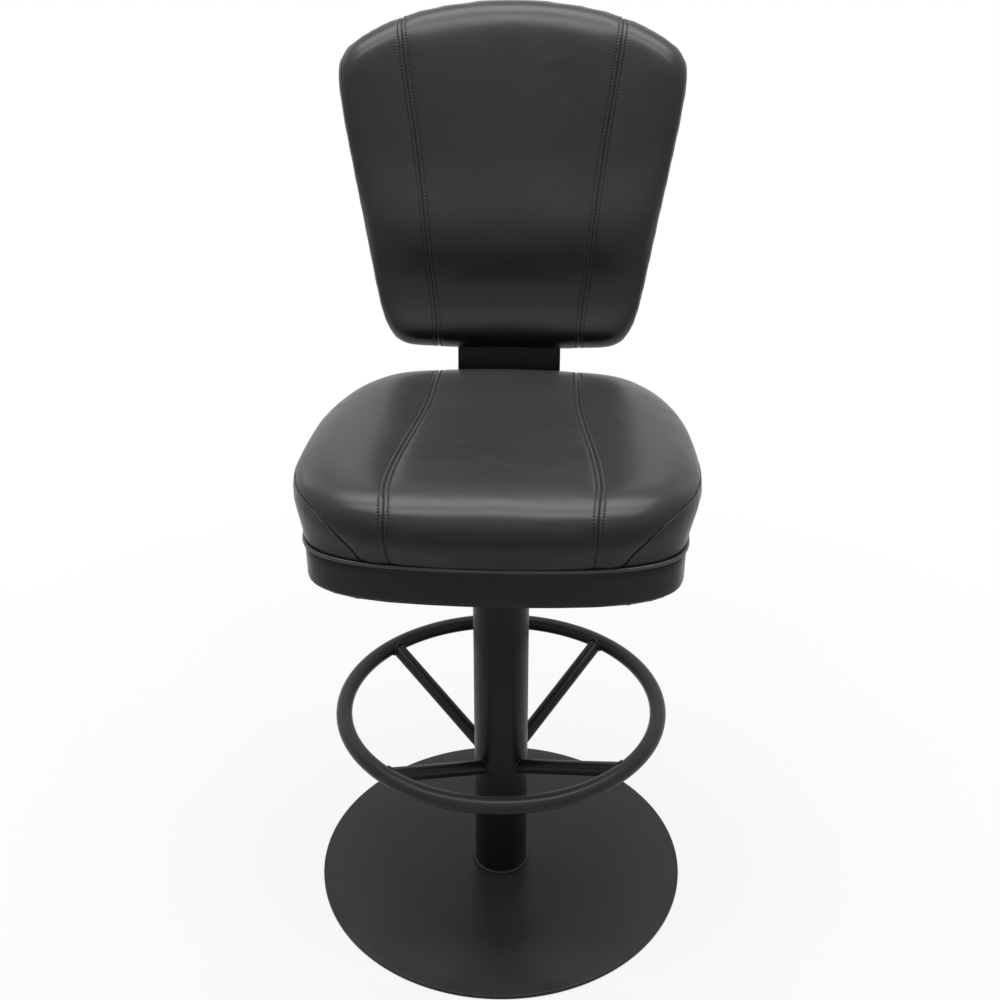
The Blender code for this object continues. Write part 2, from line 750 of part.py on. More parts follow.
bush_radius = SPINDLE_RADIUS + RUNNING_CLEARANCE + BUSH_WALL
housing_bore = bush_radius - BUSH_STEP
bush_seat = bush_radius + CONTACT_GAP
bush_pocket = BUSH_LENGTH + CONTACT_GAP
housing_body = column_bore - CONTACT_GAP
housing_profile = [
    (bush_seat, HOUSING_BOTTOM), (housing_body, HOUSING_BOTTOM),
    (housing_body, HOUSING_TOP - HOUSING_FLANGE), (COLUMN_RADIUS, HOUSING_TOP - HOUSING_FLANGE),
    (COLUMN_RADIUS, HOUSING_TOP), (bush_seat, HOUSING_TOP), (bush_seat, HOUSING_TOP - bush_pocket),
    (housing_bore, HOUSING_TOP - bush_pocket), (housing_bore, HOUSING_BOTTOM + bush_pocket),
    (bush_seat, HOUSING_BOTTOM + bush_pocket),
]
add_object("swivel_housing", turned(housing_profile, FACETS_SWIVEL, ring=True), "bright_steel")
bush_bore = SPINDLE_RADIUS + RUNNING_CLEARANCE
for name, low in (("upper_bush", HOUSING_TOP - BUSH_LENGTH), ("lower_bush", HOUSING_BOTTOM)):
    shape = turned(tube_profile(bush_bore, bush_radius, low, low + BUSH_LENGTH), FACETS_SWIVEL, ring=True)
    add_object(name, shape, "acetal")

# Thrust bearing: two plain races with a ball cage between them

race_bore = SPINDLE_RADIUS + RACE_BORE_CLEARANCE
for name, low in (("bearing_lower_race", LOWER_RACE_UNDERSIDE), ("bearing_upper_race", UPPER_RACE_UNDERSIDE)):
    profile = tube_profile(race_bore, RACE_RADIUS, low, low + RACE_THICKNESS)
    add_object(name, turned(profile, FACETS_SWIVEL, ring=True), "bearing_steel")
cage_low = BALL_HEIGHT - CAGE_THICKNESS / 2.0
cage = add_object("bearing_ball_cage", turned(
    tube_profile(race_bore + CAGE_INSET, RACE_RADIUS - CAGE_INSET, cage_low, cage_low + CAGE_THICKNESS),
    FACETS_SWIVEL, ring=True,
), "bearing_steel")
balls = bmesh.new()
ball_sides, ball_rings = FACETS_BALL
ball_circle = (race_bore + RACE_RADIUS) / 2.0
for number in range(BALL_COUNT):
    angle = math.tau * number / BALL_COUNT
    place = (ball_circle * math.cos(angle), ball_circle * math.sin(angle), BALL_HEIGHT)
    bmesh.ops.create_uvsphere(
        balls, u_segments=ball_sides, v_segments=ball_rings, radius=BALL_RADIUS,
        matrix=Matrix.Translation(place),
    )
cut(cage, add_cutter("cutter_balls", balls), "UNION")

# Spindle: welded into the seat plate, held down by a clip and a washer under the housing

washer_top = HOUSING_BOTTOM - CONTACT_GAP
clip_top = washer_top - WASHER_THICKNESS - CONTACT_GAP
groove_top = clip_top + CONTACT_GAP
groove_low = clip_top - CLIP_THICKNESS - CONTACT_GAP
groove_radius = SPINDLE_RADIUS - CLIP_DEPTH
spindle_profile = [
    (0.0, groove_low - SPINDLE_TAIL), (SPINDLE_RADIUS, groove_low - SPINDLE_TAIL),
    (SPINDLE_RADIUS, groove_low), (groove_radius, groove_low), (groove_radius, groove_top),
    (SPINDLE_RADIUS, groove_top), (SPINDLE_RADIUS, COLLAR_UNDERSIDE), (COLLAR_RADIUS, COLLAR_UNDERSIDE),
    (COLLAR_RADIUS, COLLAR_TOP), (SPINDLE_RADIUS, COLLAR_TOP), (SPINDLE_RADIUS, SEAT_PLATE_TOP),
    (0.0, SEAT_PLATE_TOP),
]
add_object("spindle", turned(spindle_profile, FACETS_SWIVEL), "bright_steel")
add_object("spindle_washer", turned(tube_profile(
    bush_bore, bush_bore + WASHER_WIDTH, washer_top - WASHER_THICKNESS, washer_top,
), FACETS_SWIVEL, ring=True), "zinc_plate")
clip = add_object("spindle_clip", turned(tube_profile(
    groove_radius + CONTACT_GAP, SPINDLE_RADIUS + CLIP_STAND, clip_top - CLIP_THICKNESS, clip_top,
), FACETS_SWIVEL, ring=True), "bright_steel")
cut(clip, add_cutter("cutter_clip_opening", box(
    (-CLIP_OPENING / 2.0, 0.0, clip_top - CLIP_THICKNESS - CUT_OVERRUN),
    (CLIP_OPENING / 2.0, SPINDLE_RADIUS + CLIP_STAND + CUT_OVERRUN, clip_top + CUT_OVERRUN),
)))

# Outlines shared by the seat's cushion, piping, board and skirt

seat_frame = add_empty("seat_frame", (0.0, 0.0, SEAT_BOARD_HEIGHT))
seat_half = smooth_half(SEAT_OUTLINE_SHARES, SEAT_HALF_WIDTH, SEAT_FRONT, SEAT_REAR)
skirt_half = smooth_half(SKIRT_OUTLINE_SHARES, SKIRT_HALF_WIDTH, SKIRT_FRONT, SKIRT_REAR)
seat_seams = (SEAT_SEAM_FRONT, SEAT_SEAM_REAR)
seat_loop = outline_loop(seat_half, SEAT_CORNER_PLACES, seat_seams)
skirt_loop = outline_loop(skirt_half, SKIRT_CORNER_PLACES, seat_seams)
board_inset = VINYL_THICKNESS + CONTACT_GAP
PIPING_OUT = PIPING_RADIUS - VINYL_THICKNESS
seat_cover_foot = PIPING_RADIUS + CONTACT_GAP - PIPING_DROP
skirt_top = -PIPING_DROP - PIPING_RADIUS - CONTACT_GAP

# Seat plate and board, with their bolts

half_plate = SEAT_PLATE_WIDTH / 2.0
plate_top = -CONTACT_GAP
plate_low = plate_top - SEAT_PLATE_THICKNESS
bm = box((-half_plate, -half_plate, plate_low), (half_plate, half_plate, plate_top))
upright = [
    edge for edge in bm.edges
    if abs(edge.verts[0].co.z - edge.verts[1].co.z) > SEAT_PLATE_THICKNESS / 2.0
]
bmesh.ops.bevel(
    bm, geom=upright, offset=SEAT_PLATE_CORNER, segments=SEAT_PLATE_CORNER_STEPS,
    profile=ROUND_BEVEL_SHARE, affect="EDGES",
)
seat_plate = add_object("seat_plate", bm, "powder_coat", seat_frame)
seat_bolt_places = [
    (side * SEAT_BOLT_OFFSET, end * SEAT_BOLT_OFFSET) for side in (-1, 1) for end in (-1, 1)
]
bar_bolt_places = [
    (side * BAR_BOLT_HALF_SPACING, BAR_BOLT_FIRST + row * BAR_BOLT_PITCH)
    for side in (-1, 1) for row in range(2)
]
pilot_hole = turned(rod_profile(
    SPINDLE_RADIUS + CONTACT_GAP, plate_low - CUT_OVERRUN, plate_top + CUT_OVERRUN,
), FACETS_SWIVEL)
cut(seat_plate, add_cutter("cutter_plate_holes", join(
    pilot_hole, *[bolt_hole(plate_low, plate_top, place) for place in seat_bolt_places],
), seat_frame))

seat_board = add_object(
    "seat_board", slab(outline_points(inset(skirt_loop, board_inset)), 0.0, SEAT_BOARD_THICKNESS),
    "plywood", seat_frame,
)
cut(seat_board, add_cutter("cutter_board_holes", join(*[
    nut_hole(0.0, SEAT_BOARD_THICKNESS, place) for place in seat_bolt_places + bar_bolt_places
]), seat_frame))
seat_nut_length = SEAT_BOARD_THICKNESS - NUT_END_MARGIN
bolted_set(
    "seat", seat_bolt_places, plate_low - CONTACT_GAP, SEAT_BOARD_THICKNESS, seat_nut_length, seat_frame,
)
bar_low = -CONTACT_GAP - BAR_THICKNESS
bolted_set(
    "bar", bar_bolt_places, bar_low - CONTACT_GAP, SEAT_BOARD_THICKNESS, seat_nut_length, seat_frame,
)

# Seat cushion

seat_foam_ring = SEAT_BOARD_THICKNESS + CONTACT_GAP
seat_belly_middle = (seat_foam_ring + SEAT_WIDE_HEIGHT) / 2.0


def seat_rise(across, along):
    return SEAT_CROWN * (1.0 - across ** 2) * (1.0 - (2.0 * along - 1.0) ** 2)


seat_spec = {
    "foot": skirt_loop,
    "wide": seat_loop,
    "under_foam": (seat_cover_foot,),
    "belly": (seat_foam_ring, seat_belly_middle, SEAT_WIDE_HEIGHT),
    "board": SEAT_BOARD_THICKNESS,
    "wide_height": SEAT_WIDE_HEIGHT,
    "shoulder_height": SEAT_SHOULDER_HEIGHT,
    "shoulder_width": SEAT_SHOULDER_WIDTH,
    "seam_course": eased,
    "seam_bow": 0.0,
    "rise": seat_rise,
}
cushion_cover("seat_cover", seat_spec, seat_frame)
cushion_foam("seat_foam", seat_spec, seat_frame)

# Piping between the cushion and the skirt; its ends tuck in on both sides of the back bar

gap_side = BAR_WIDTH / 2.0 + BAR_SLOT_CLEARANCE + PIPING_RADIUS
piping_line = [
    (*(point + normal * PIPING_OUT), -PIPING_DROP) for point, normal in skirt_loop
]
kept = [
    place for place in piping_line if place[1] < 0.0 or abs(place[0]) > gap_side
]
rear_break = max(
    range(len(kept)),
    key=lambda index: (Vector(kept[index]) - Vector(kept[(index + 1) % len(kept)])).length,
)
kept = kept[rear_break + 1:] + kept[:rear_break + 1]
piping("seat_piping", kept, False, seat_frame)

# Skirt: plywood hoop with a vinyl cover, and a notch at the rear for the back bar

skirt_bottom = -SKIRT_DEPTH
frame_bottom = skirt_bottom + VINYL_THICKNESS + CONTACT_GAP
frame_out = -board_inset
skirt_frame = add_object("skirt_frame", hoop(skirt_loop, [
    (frame_out, frame_bottom), (frame_out, -CONTACT_GAP),
    (frame_out - SKIRT_WALL, -CONTACT_GAP), (frame_out - SKIRT_WALL, frame_bottom),
]), "plywood", seat_frame)
turned_in = SKIRT_EDGE_ROUND * (1.0 - math.cos(math.pi / 4.0))
hem_top = skirt_bottom + VINYL_THICKNESS
skirt_cover = add_object("skirt_cover", hoop(skirt_loop, [
    (0.0, skirt_top), (0.0, skirt_bottom + SKIRT_EDGE_ROUND),
    (-turned_in, skirt_bottom + turned_in), (-SKIRT_EDGE_ROUND, skirt_bottom),
    (-SKIRT_HEM, skirt_bottom), (-SKIRT_HEM, hem_top), (-VINYL_THICKNESS, hem_top),
    (-VINYL_THICKNESS, skirt_top),
]), "vinyl", seat_frame)
notch_half = BAR_WIDTH / 2.0 + BAR_SLOT_CLEARANCE
bar_notch = add_cutter("cutter_bar_notch", box(
    (-notch_half, SKIRT_REAR - SKIRT_WALL - BAR_BEND_RADIUS, bar_low - CONTACT_GAP),
    (notch_half, SKIRT_REAR + BAR_BEND_RADIUS, CUT_OVERRUN),
), seat_frame)
cut(skirt_frame, bar_notch)
cut(skirt_cover, bar_notch)

# Bottom cover: a thin board under the skirt, with a clear hole round the column

cover_top = skirt_bottom - CONTACT_GAP
cover_low = cover_top - BOTTOM_COVER_THICKNESS
bottom_cover = add_object(
    "bottom_cover", slab(outline_points(inset(skirt_loop, BOTTOM_COVER_INSET)), cover_low, cover_top),
    "hardboard", seat_frame,
)
screw_ring = inset(skirt_loop, SCREW_INSET)
screw_places = [
    screw_ring[round(len(screw_ring) * (number + SCREW_FIRST_PLACE_SHARE) / SCREW_COUNT)][0]
    for number in range(SCREW_COUNT)
]
screw_holes = add_cutter("cutter_screw_holes", join(*[
    turned(rod_profile(
        SCREW_RADIUS + CONTACT_GAP, cover_low - CUT_OVERRUN, cover_low + SCREW_LENGTH + CONTACT_GAP,
    ), FACETS_NUT, centre=tuple(place))
    for place in screw_places
]), seat_frame)
column_hole = add_cutter("cutter_column_hole", turned(rod_profile(
    COLUMN_RADIUS + BOTTOM_COVER_CLEARANCE, cover_low - CUT_OVERRUN, cover_top + CUT_OVERRUN,
), FACETS_COLUMN), seat_frame)
cut(bottom_cover, column_hole)
cut(bottom_cover, screw_holes)
cut(skirt_frame, screw_holes)
screw_head_top = cover_low - CONTACT_GAP
for number, place in enumerate(screw_places, 1):
    profile = [
        (0.0, screw_head_top - SCREW_HEAD_HEIGHT), (SCREW_HEAD_RADIUS, screw_head_top - SCREW_HEAD_HEIGHT),
        (SCREW_HEAD_RADIUS, screw_head_top), (SCREW_RADIUS, screw_head_top),
        (SCREW_RADIUS, cover_low + SCREW_LENGTH - CONTACT_GAP), (0.0, cover_low + SCREW_LENGTH - CONTACT_GAP),
    ]
    screw = turned(profile, FACETS_NUT, centre=tuple(place))
    add_object(f"cover_screw_{number}", screw, "zinc_plate", seat_frame)

# Back bar: flat steel bent up behind the seat, carried as a section along its centre line

back_foot_height = SEAT_BOARD_HEIGHT + BACK_FOOT_RISE
back_frame = add_empty("back_frame", (0.0, BACK_FOOT_REACH, back_foot_height), tilt=90.0 - BACK_LEAN)
lean = math.radians(BACK_LEAN)
up_back = Vector((math.sin(lean), math.cos(lean)))
front_of_back = Vector((-math.cos(lean), math.sin(lean)))
bar_middle = BAR_BOARD_STAND + BAR_THICKNESS / 2.0
upright_foot = Vector((BACK_FOOT_REACH, back_foot_height)) + front_of_back * bar_middle
flat_height = SEAT_BOARD_HEIGHT - CONTACT_GAP - BAR_THICKNESS / 2.0
corner = upright_foot - up_back * ((upright_foot.y - flat_height) / up_back.y)
bend_angle = math.pi / 2.0 - lean
bend_reach = BAR_BEND_RADIUS * math.tan(bend_angle / 2.0)
bend_centre = Vector((corner.x - bend_reach, flat_height + BAR_BEND_RADIUS))
bar_stations = [(Vector((BAR_FRONT_END, flat_height)), 0.0)]
for step in range(BAR_BEND_STEPS + 1):
    angle = bend_angle * step / BAR_BEND_STEPS
    radial = Vector((math.sin(angle), -math.cos(angle)))
    bar_stations.append((bend_centre + radial * BAR_BEND_RADIUS, angle))
bar_stations.append((upright_foot + up_back * BAR_RISE, bend_angle))
half_width = BAR_WIDTH / 2.0
half_thick = BAR_THICKNESS / 2.0
section = []
for across, out in ((1, -1), (1, 1), (-1, 1), (-1, -1)):
    flat = (across * (half_width - BAR_EDGE_CHAMFER), out * half_thick)
    edge = (across * half_width, out * (half_thick - BAR_EDGE_CHAMFER))
    section += [flat, edge] if across * out < 0 else [edge, flat]
bm = bmesh.new()
rings = []
for place, angle in bar_stations:
    outside = Vector((-math.sin(angle), math.cos(angle)))
    rings.append([
        bm.verts.new((x, *(place + outside * depth))) for x, depth in section
    ])
for ring, following in zip(rings, rings[1:]):
    for step in range(len(section)):
        after = (step + 1) % len(section)
        bm.faces.new((ring[step], ring[after], following[after], following[step]))
bm.faces.new(rings[0])
bm.faces.new(list(reversed(rings[-1])))
back_bar = add_object("back_bar", close_up(bm), "powder_coat")
back_bolt_places = [
    (side * BAR_BOLT_HALF_SPACING, BACK_BOLT_FIRST + row * BACK_BOLT_PITCH)
    for side in (-1, 1) for row in range(2)
]
bar_front = BAR_BOARD_STAND + BAR_THICKNESS
cut(back_bar, add_cutter("cutter_bar_flat_holes", join(*[
    bolt_hole(bar_low, plate_top, place) for place in bar_bolt_places
]), seat_frame))
cut(back_bar, add_cutter("cutter_bar_upright_holes", join(*[
    bolt_hole(BAR_BOARD_STAND, bar_front, place) for place in back_bolt_places
]), back_frame))

# Back board, with a pocket for the bar, and its bolts

back_half = smooth_half(BACK_OUTLINE_SHARES, BACK_HALF_WIDTH, BACK_LENGTH, BACK_LENGTH)
back_loop = outline_loop(back_half, BACK_CORNER_PLACES, (BACK_SEAM_FOOT, BACK_SEAM_TOP))
back_foot_loop = inset(back_loop, BACK_DRAW_IN)
pocket_floor = bar_front + CONTACT_GAP
back_board = add_object(
    "back_board", slab(outline_points(inset(back_foot_loop, board_inset)), 0.0, BACK_BOARD_THICKNESS),
    "plywood", back_frame,
)
bar_pocket = add_cutter("cutter_bar_pocket", box(
    (-notch_half, -BAR_BEND_RADIUS, -CUT_OVERRUN),
    (notch_half, BAR_RISE + BAR_SLOT_CLEARANCE, pocket_floor),
), back_frame)
cut(back_board, bar_pocket)
cut(back_board, add_cutter("cutter_back_board_holes", join(*[
    nut_hole(pocket_floor, BACK_BOARD_THICKNESS, place) for place in back_bolt_places
]), back_frame))
bolted_set(
    "back", back_bolt_places, BAR_BOARD_STAND - CONTACT_GAP, BACK_BOARD_THICKNESS,
    BACK_BOARD_THICKNESS - pocket_floor - NUT_END_MARGIN, back_frame,
)

# Back cushion

back_cover_foot = 2.0 * PIPING_RADIUS + CONTACT_GAP
back_wide_height = BACK_BOARD_THICKNESS + CONTACT_GAP


def straight(share):
    return share


def back_rise(across, along):
    dome = BACK_CROWN * (1.0 - across ** 2) * (1.0 - (2.0 * along - 1.0) ** 2)
    from_lumbar = (along * BACK_LENGTH - LUMBAR_HEIGHT) / LUMBAR_SPREAD
    edge_fade = 1.0 - (2.0 * along - 1.0) ** 4
    return dome + LUMBAR_BULGE * math.exp(-from_lumbar ** 2) * (1.0 - across ** 2) * edge_fade


back_spec = {
    "foot": back_foot_loop,
    "wide": back_loop,
    "under_foam": (back_cover_foot, (back_cover_foot + back_wide_height) / 2.0),
    "belly": (back_wide_height,),
    "board": BACK_BOARD_THICKNESS,
    "wide_height": back_wide_height,
    "shoulder_height": BACK_SHOULDER_HEIGHT,
    "shoulder_width": BACK_SHOULDER_WIDTH,
    "seam_course": straight,
    "seam_bow": BACK_SEAM_BOW,
    "rise": back_rise,
}
back_cover = cushion_cover("back_cover", back_spec, back_frame)
cut(back_cover, bar_pocket)
cushion_foam("back_foam", back_spec, back_frame)
piping(
    "back_piping", [(*(point + normal * PIPING_OUT), PIPING_RADIUS) for point, normal in back_foot_loop],
    True, back_frame,
)

# Rear panel: upholstered board, crowned to the rear

bm = bmesh.new()
panel_centre = Vector((0.0, BACK_LENGTH / 2.0))
panel_edge = -CONTACT_GAP - REAR_PANEL_THICKNESS
rings = [[bm.verts.new((*point, -CONTACT_GAP)) for point, normal in back_foot_loop]]
for size_share, crown_share in REAR_PANEL_RING_SHARES:
    depth = panel_edge - REAR_PANEL_CROWN * crown_share
    rings.append([
        bm.verts.new((*panel_centre.lerp(point, size_share), depth)) for point, normal in back_foot_loop
    ])
for ring, following in zip(rings, rings[1:]):
    for step in range(len(ring)):
        after = (step + 1) % len(ring)
        bm.faces.new((ring[step], ring[after], following[after], following[step]))
bm.faces.new(rings[0])
middle = bm.verts.new((*panel_centre, panel_edge - REAR_PANEL_CROWN))
for step in range(len(rings[-1])):
    bm.faces.new((rings[-1][step], rings[-1][(step + 1) % len(rings[-1])], middle))
add_object("back_rear_panel", close_up(bm), "vinyl", back_frame)
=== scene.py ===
"""Looks of a swivel stool with a back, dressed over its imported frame.

Metres, +Z up, and the sitter faces -Y, as in the frame. The sections follow the stool as it is put
together.
"""
import math

import bmesh
import bpy
import numpy as np
from mathutils import Matrix, Vector, noise
from mathutils.bvhtree import BVHTree
from mathutils.kdtree import KDTree


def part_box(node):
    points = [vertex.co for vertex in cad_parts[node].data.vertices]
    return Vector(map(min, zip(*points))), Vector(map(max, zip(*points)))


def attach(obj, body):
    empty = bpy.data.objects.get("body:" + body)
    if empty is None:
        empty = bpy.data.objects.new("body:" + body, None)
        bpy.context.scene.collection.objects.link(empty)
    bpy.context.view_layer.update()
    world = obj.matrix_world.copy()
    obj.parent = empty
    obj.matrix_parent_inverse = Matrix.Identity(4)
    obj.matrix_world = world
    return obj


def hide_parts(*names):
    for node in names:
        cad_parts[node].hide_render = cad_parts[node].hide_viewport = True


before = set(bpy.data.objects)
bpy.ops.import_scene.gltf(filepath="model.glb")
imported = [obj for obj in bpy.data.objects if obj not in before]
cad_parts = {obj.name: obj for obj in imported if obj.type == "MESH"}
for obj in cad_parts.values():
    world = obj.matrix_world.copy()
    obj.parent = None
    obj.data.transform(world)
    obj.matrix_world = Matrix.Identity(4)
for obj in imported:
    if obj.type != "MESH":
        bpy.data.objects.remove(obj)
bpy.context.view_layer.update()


# Base plate. A disc cut from 6 mm steel plate, its edge broken, then powder coated black.
# A sheet of rubber is glued under it, set back from the edge.

PLATE_FACETS = 224
PLATE_EDGE_ROUND = 0.0012
PLATE_EDGE_STEPS = 3
PLATE_BORDERS = 12.0
SHARP_ANGLE = math.radians(40.0)
# What counts as a level face, and as the plate's rim: the share of the normal, and of the radius.
LEVEL_FACE = 0.99
RIM_SHARE = 0.99
ORANGE_PEEL = 0.0016
COAT_CLOUD = 0.070
DUST_SPACING = 0.030
DUST_RADIUS = 0.0005
RUBBER_GRAIN = 0.0008


def linear(colour):
    """Turn an sRGB hex colour into linear RGBA."""
    channels = [int(colour[place:place + 2], 16) / 255.0 for place in (1, 3, 5)]
    return (*[c / 12.92 if c <= 0.04045 else ((c + 0.055) / 1.055) ** 2.4 for c in channels], 1.0)


def new_finish(name):
    """A new material with its shader tree, its surface shader and its Object coordinates."""
    material = bpy.data.materials.new(name)
    material.use_nodes = True
    tree = material.node_tree
    place = add_node(tree, "ShaderNodeTexCoord")
    return material, tree, tree.nodes["Principled BSDF"], place.outputs["Object"]


def add_node(tree, kind, settings=None, links=None):
    """Add a node, set its properties and sockets, and link sockets to other nodes' outputs."""
    node = tree.nodes.new(kind)
    for name, value in (settings or {}).items():
        if isinstance(name, str) and hasattr(node, name):
            setattr(node, name, value)
        else:
            node.inputs[name].default_value = value
    for name, output in (links or {}).items():
        tree.links.new(output, node.inputs[name])
    return node


def begin():
    """Leave edit mode with nothing selected, so that an operator acts only on what comes next."""
    if bpy.context.object and bpy.context.object.mode != "OBJECT":
        bpy.ops.object.mode_set(mode="OBJECT")
    bpy.ops.object.select_all(action="DESELECT")


def take(piece, mode="OBJECT"):
    """Make a piece the only one selected, in the given mode."""
    begin()
    piece.select_set(True)
    bpy.context.view_layer.objects.active = piece
    if mode != "OBJECT":
        bpy.ops.object.mode_set(mode=mode)


def pick(piece, kind, wanted):
    """In edit mode, select just the vertices, edges or faces for which wanted is true."""
    bpy.ops.mesh.select_mode(type=kind)
    bpy.ops.mesh.select_all(action="DESELECT")
    mesh = bmesh.from_edit_mesh(piece.data)
    for item in {"VERT": mesh.verts, "EDGE": mesh.edges, "FACE": mesh.faces}[kind]:
        item.select_set(bool(wanted(item)))
    mesh.select_flush_mode()
    bmesh.update_edit_mesh(piece.data)


def shape_by(piece, kind, **settings):
    """Add a modifier to the active piece, set it and apply it."""
    modifier = piece.modifiers.new(kind.lower(), kind)
    for name, value in settings.items():
        setattr(modifier, name, value)
    bpy.ops.object.modifier_apply(modifier=modifier.name)


def dress(material, *nodes):
    """Give CAD nodes that keep their mesh a better material."""
    for name in nodes:
        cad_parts[name].material_slots[0].material = material


def carry(piece, body, slot, material, *nodes):
    """Finish a piece: its place goes into its mesh, and it rides on a body in place of the nodes."""
    take(piece)
    bpy.ops.object.transform_apply(location=True, rotation=True, scale=True)
    piece.data.materials.clear()
    piece.data.materials.append(material)
    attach(piece, body)
    if nodes:
        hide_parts(*nodes)


# Powder coat, semi-matt: melted powder leaves a fine orange peel, so its gloss is broken up.
powder_coat, tree, shader, place = new_finish("semi_matt_black_powder_coat")
peel = add_node(
    tree, "ShaderNodeTexNoise", {"Scale": 1.0 / ORANGE_PEEL, "Detail": 2.0}, {"Vector": place},
)
cloud = add_node(
    tree, "ShaderNodeTexNoise", {"Scale": 1.0 / COAT_CLOUD, "Detail": 4.0, "Roughness": 0.6},
    {"Vector": place},
)
gloss = add_node(
    tree, "ShaderNodeMapRange", {"From Min": 0.3, "From Max": 0.7, "To Min": 0.28, "To Max": 0.40},
    {"Value": cloud.outputs["Fac"]},
)
relief = add_node(
    tree, "ShaderNodeBump", {"Strength": 0.6, "Distance": 0.00006}, {"Height": peel.outputs["Fac"]},
)
specks = add_node(
    tree, "ShaderNodeTexVoronoi", {"Scale": 1.0 / DUST_SPACING}, {"Vector": place},
)
speck_size = add_node(
    tree, "ShaderNodeMath", {"operation": "LESS_THAN", 1: DUST_RADIUS / DUST_SPACING},
    {0: specks.outputs["Distance"]},
)
black = add_node(
    tree, "ShaderNodeMix", {"data_type": "RGBA", 6: linear("#1f1f21"), 7: linear("#29292b")},
    {0: cloud.outputs["Fac"]},
)
dusted = add_node(
    tree, "ShaderNodeMix", {"data_type": "RGBA", 7: linear("#77777a")},
    {0: speck_size.outputs["Value"], 6: black.outputs[2]},
)
tree.links.new(dusted.outputs[2], shader.inputs["Base Color"])
tree.links.new(gloss.outputs["Result"], shader.inputs["Roughness"])
tree.links.new(relief.outputs["Normal"], shader.inputs["Normal"])
shader.inputs["Specular IOR Level"].default_value = 0.13

# Sheet rubber, calendered: dull, with a fine grain.
rubber, tree, shader, place = new_finish("black_sheet_rubber")
grain = add_node(
    tree, "ShaderNodeTexNoise", {"Scale": 1.0 / RUBBER_GRAIN, "Detail": 3.0}, {"Vector": place},
)
dull = add_node(
    tree, "ShaderNodeMix", {"data_type": "RGBA", 6: linear("#161617"), 7: linear("#232324")},
    {0: grain.outputs["Fac"]},
)
relief = add_node(
    tree, "ShaderNodeBump", {"Strength": 0.5, "Distance": 0.0001}, {"Height": grain.outputs["Fac"]},
)
tree.links.new(dull.outputs[2], shader.inputs["Base Color"])
tree.links.new(relief.outputs["Normal"], shader.inputs["Normal"])
shader.inputs["Roughness"].default_value = 0.85

dress(rubber, "floor_pad")

plate_low, plate_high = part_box("base_plate")
plate_radius = plate_high.x
plate_thickness = plate_high.z - plate_low.z
begin()
bpy.ops.mesh.primitive_cylinder_add(
    vertices=PLATE_FACETS, radius=plate_radius, depth=plate_thickness, end_fill_type="NGON",
    location=(0.0, 0.0, (plate_low.z + plate_high.z) / 2.0), enter_editmode=True,
)
base_plate = bpy.context.object
base_plate.name = "steel_base_plate"
pick(base_plate, "FACE", lambda face: abs(face.normal.z) > LEVEL_FACE)
bpy.ops.mesh.inset(thickness=plate_radius / PLATE_BORDERS)
pick(base_plate, "EDGE", lambda edge: len({round(vert.co.z, 5) for vert in edge.verts}) == 1 and all(
    vert.co.xy.length > plate_radius * RIM_SHARE for vert in edge.verts
))
bpy.ops.mesh.bevel(offset=PLATE_EDGE_ROUND, segments=PLATE_EDGE_STEPS)
bpy.ops.object.mode_set(mode="OBJECT")
bpy.ops.object.shade_smooth_by_angle(angle=SHARP_ANGLE)
carry(base_plate, "pedestal", "powder_coat", powder_coat, "base_plate")


# Column. A length of round steel tube, stood on the plate and welded all round its foot.
# The bead is left as welded, in overlapping ripples, under the same powder coat.

COLUMN_RADIUS = 0.0365
COLUMN_FACETS = 128
COLUMN_WALL = 0.003
FOOT_BEAD = 0.0034
BEAD_RIPPLE = 0.0055
RIPPLE_CELLS = 5
BEAD_SECTION = 12
# Shares of a bead's radius: how far its ripples lean, its hollows, its ripples and its unevenness,
# which wanders this often round it.
BEAD_LEAN = 0.35
BEAD_HOLLOW = 0.82
BEAD_RISE = 0.24
BEAD_UNEVEN = 0.22
BEAD_WANDER = 4.0
# How far out of the corner that it fills a bead lies, and how far up.
BEAD_OUT = 0.2
BEAD_UP = 0.15


def weld_bead(name, ring_radius, bead_radius):
    """A weld bead round the Z axis at the origin, laid in overlapping ripples of uneven height."""
    begin()
    ripples = round(math.tau * ring_radius / BEAD_RIPPLE)
    bpy.ops.mesh.primitive_torus_add(
        major_segments=ripples * RIPPLE_CELLS, minor_segments=BEAD_SECTION,
        major_radius=ring_radius, minor_radius=bead_radius, location=(0.0, 0.0, 0.0),
    )
    bead = bpy.context.object
    bead.name = name
    for vert in bead.data.vertices:
        turn = math.atan2(vert.co.y, vert.co.x)
        middle = Vector((math.cos(turn), math.sin(turn), 0.0)) * ring_radius
        out = vert.co - middle
        swirl = (turn * ripples / math.tau + out.z / bead_radius * BEAD_LEAN) % 1.0
        uneven = noise.noise(Vector((math.cos(turn), math.sin(turn), ring_radius)) * BEAD_WANDER)
        rise = BEAD_HOLLOW + BEAD_RISE * math.sqrt(1.0 - swirl) + BEAD_UNEVEN * uneven
        vert.co = middle + out * rise
    bpy.ops.object.shade_smooth()
    return bead


column_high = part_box("column_tube")[1]
column_foot = plate_high.z
begin()
bpy.ops.mesh.primitive_cylinder_add(
    vertices=COLUMN_FACETS, radius=COLUMN_RADIUS, depth=column_high.z - column_foot,
    end_fill_type="NOTHING", location=(0.0, 0.0, (column_high.z + column_foot) / 2.0),
)
column = bpy.context.object
column.name = "column_of_round_tube"
shape_by(column, "SOLIDIFY", thickness=COLUMN_WALL, offset=-1.0)
bpy.ops.object.shade_smooth_by_angle(angle=SHARP_ANGLE)
carry(column, "pedestal", "powder_coat", powder_coat, "column_tube")

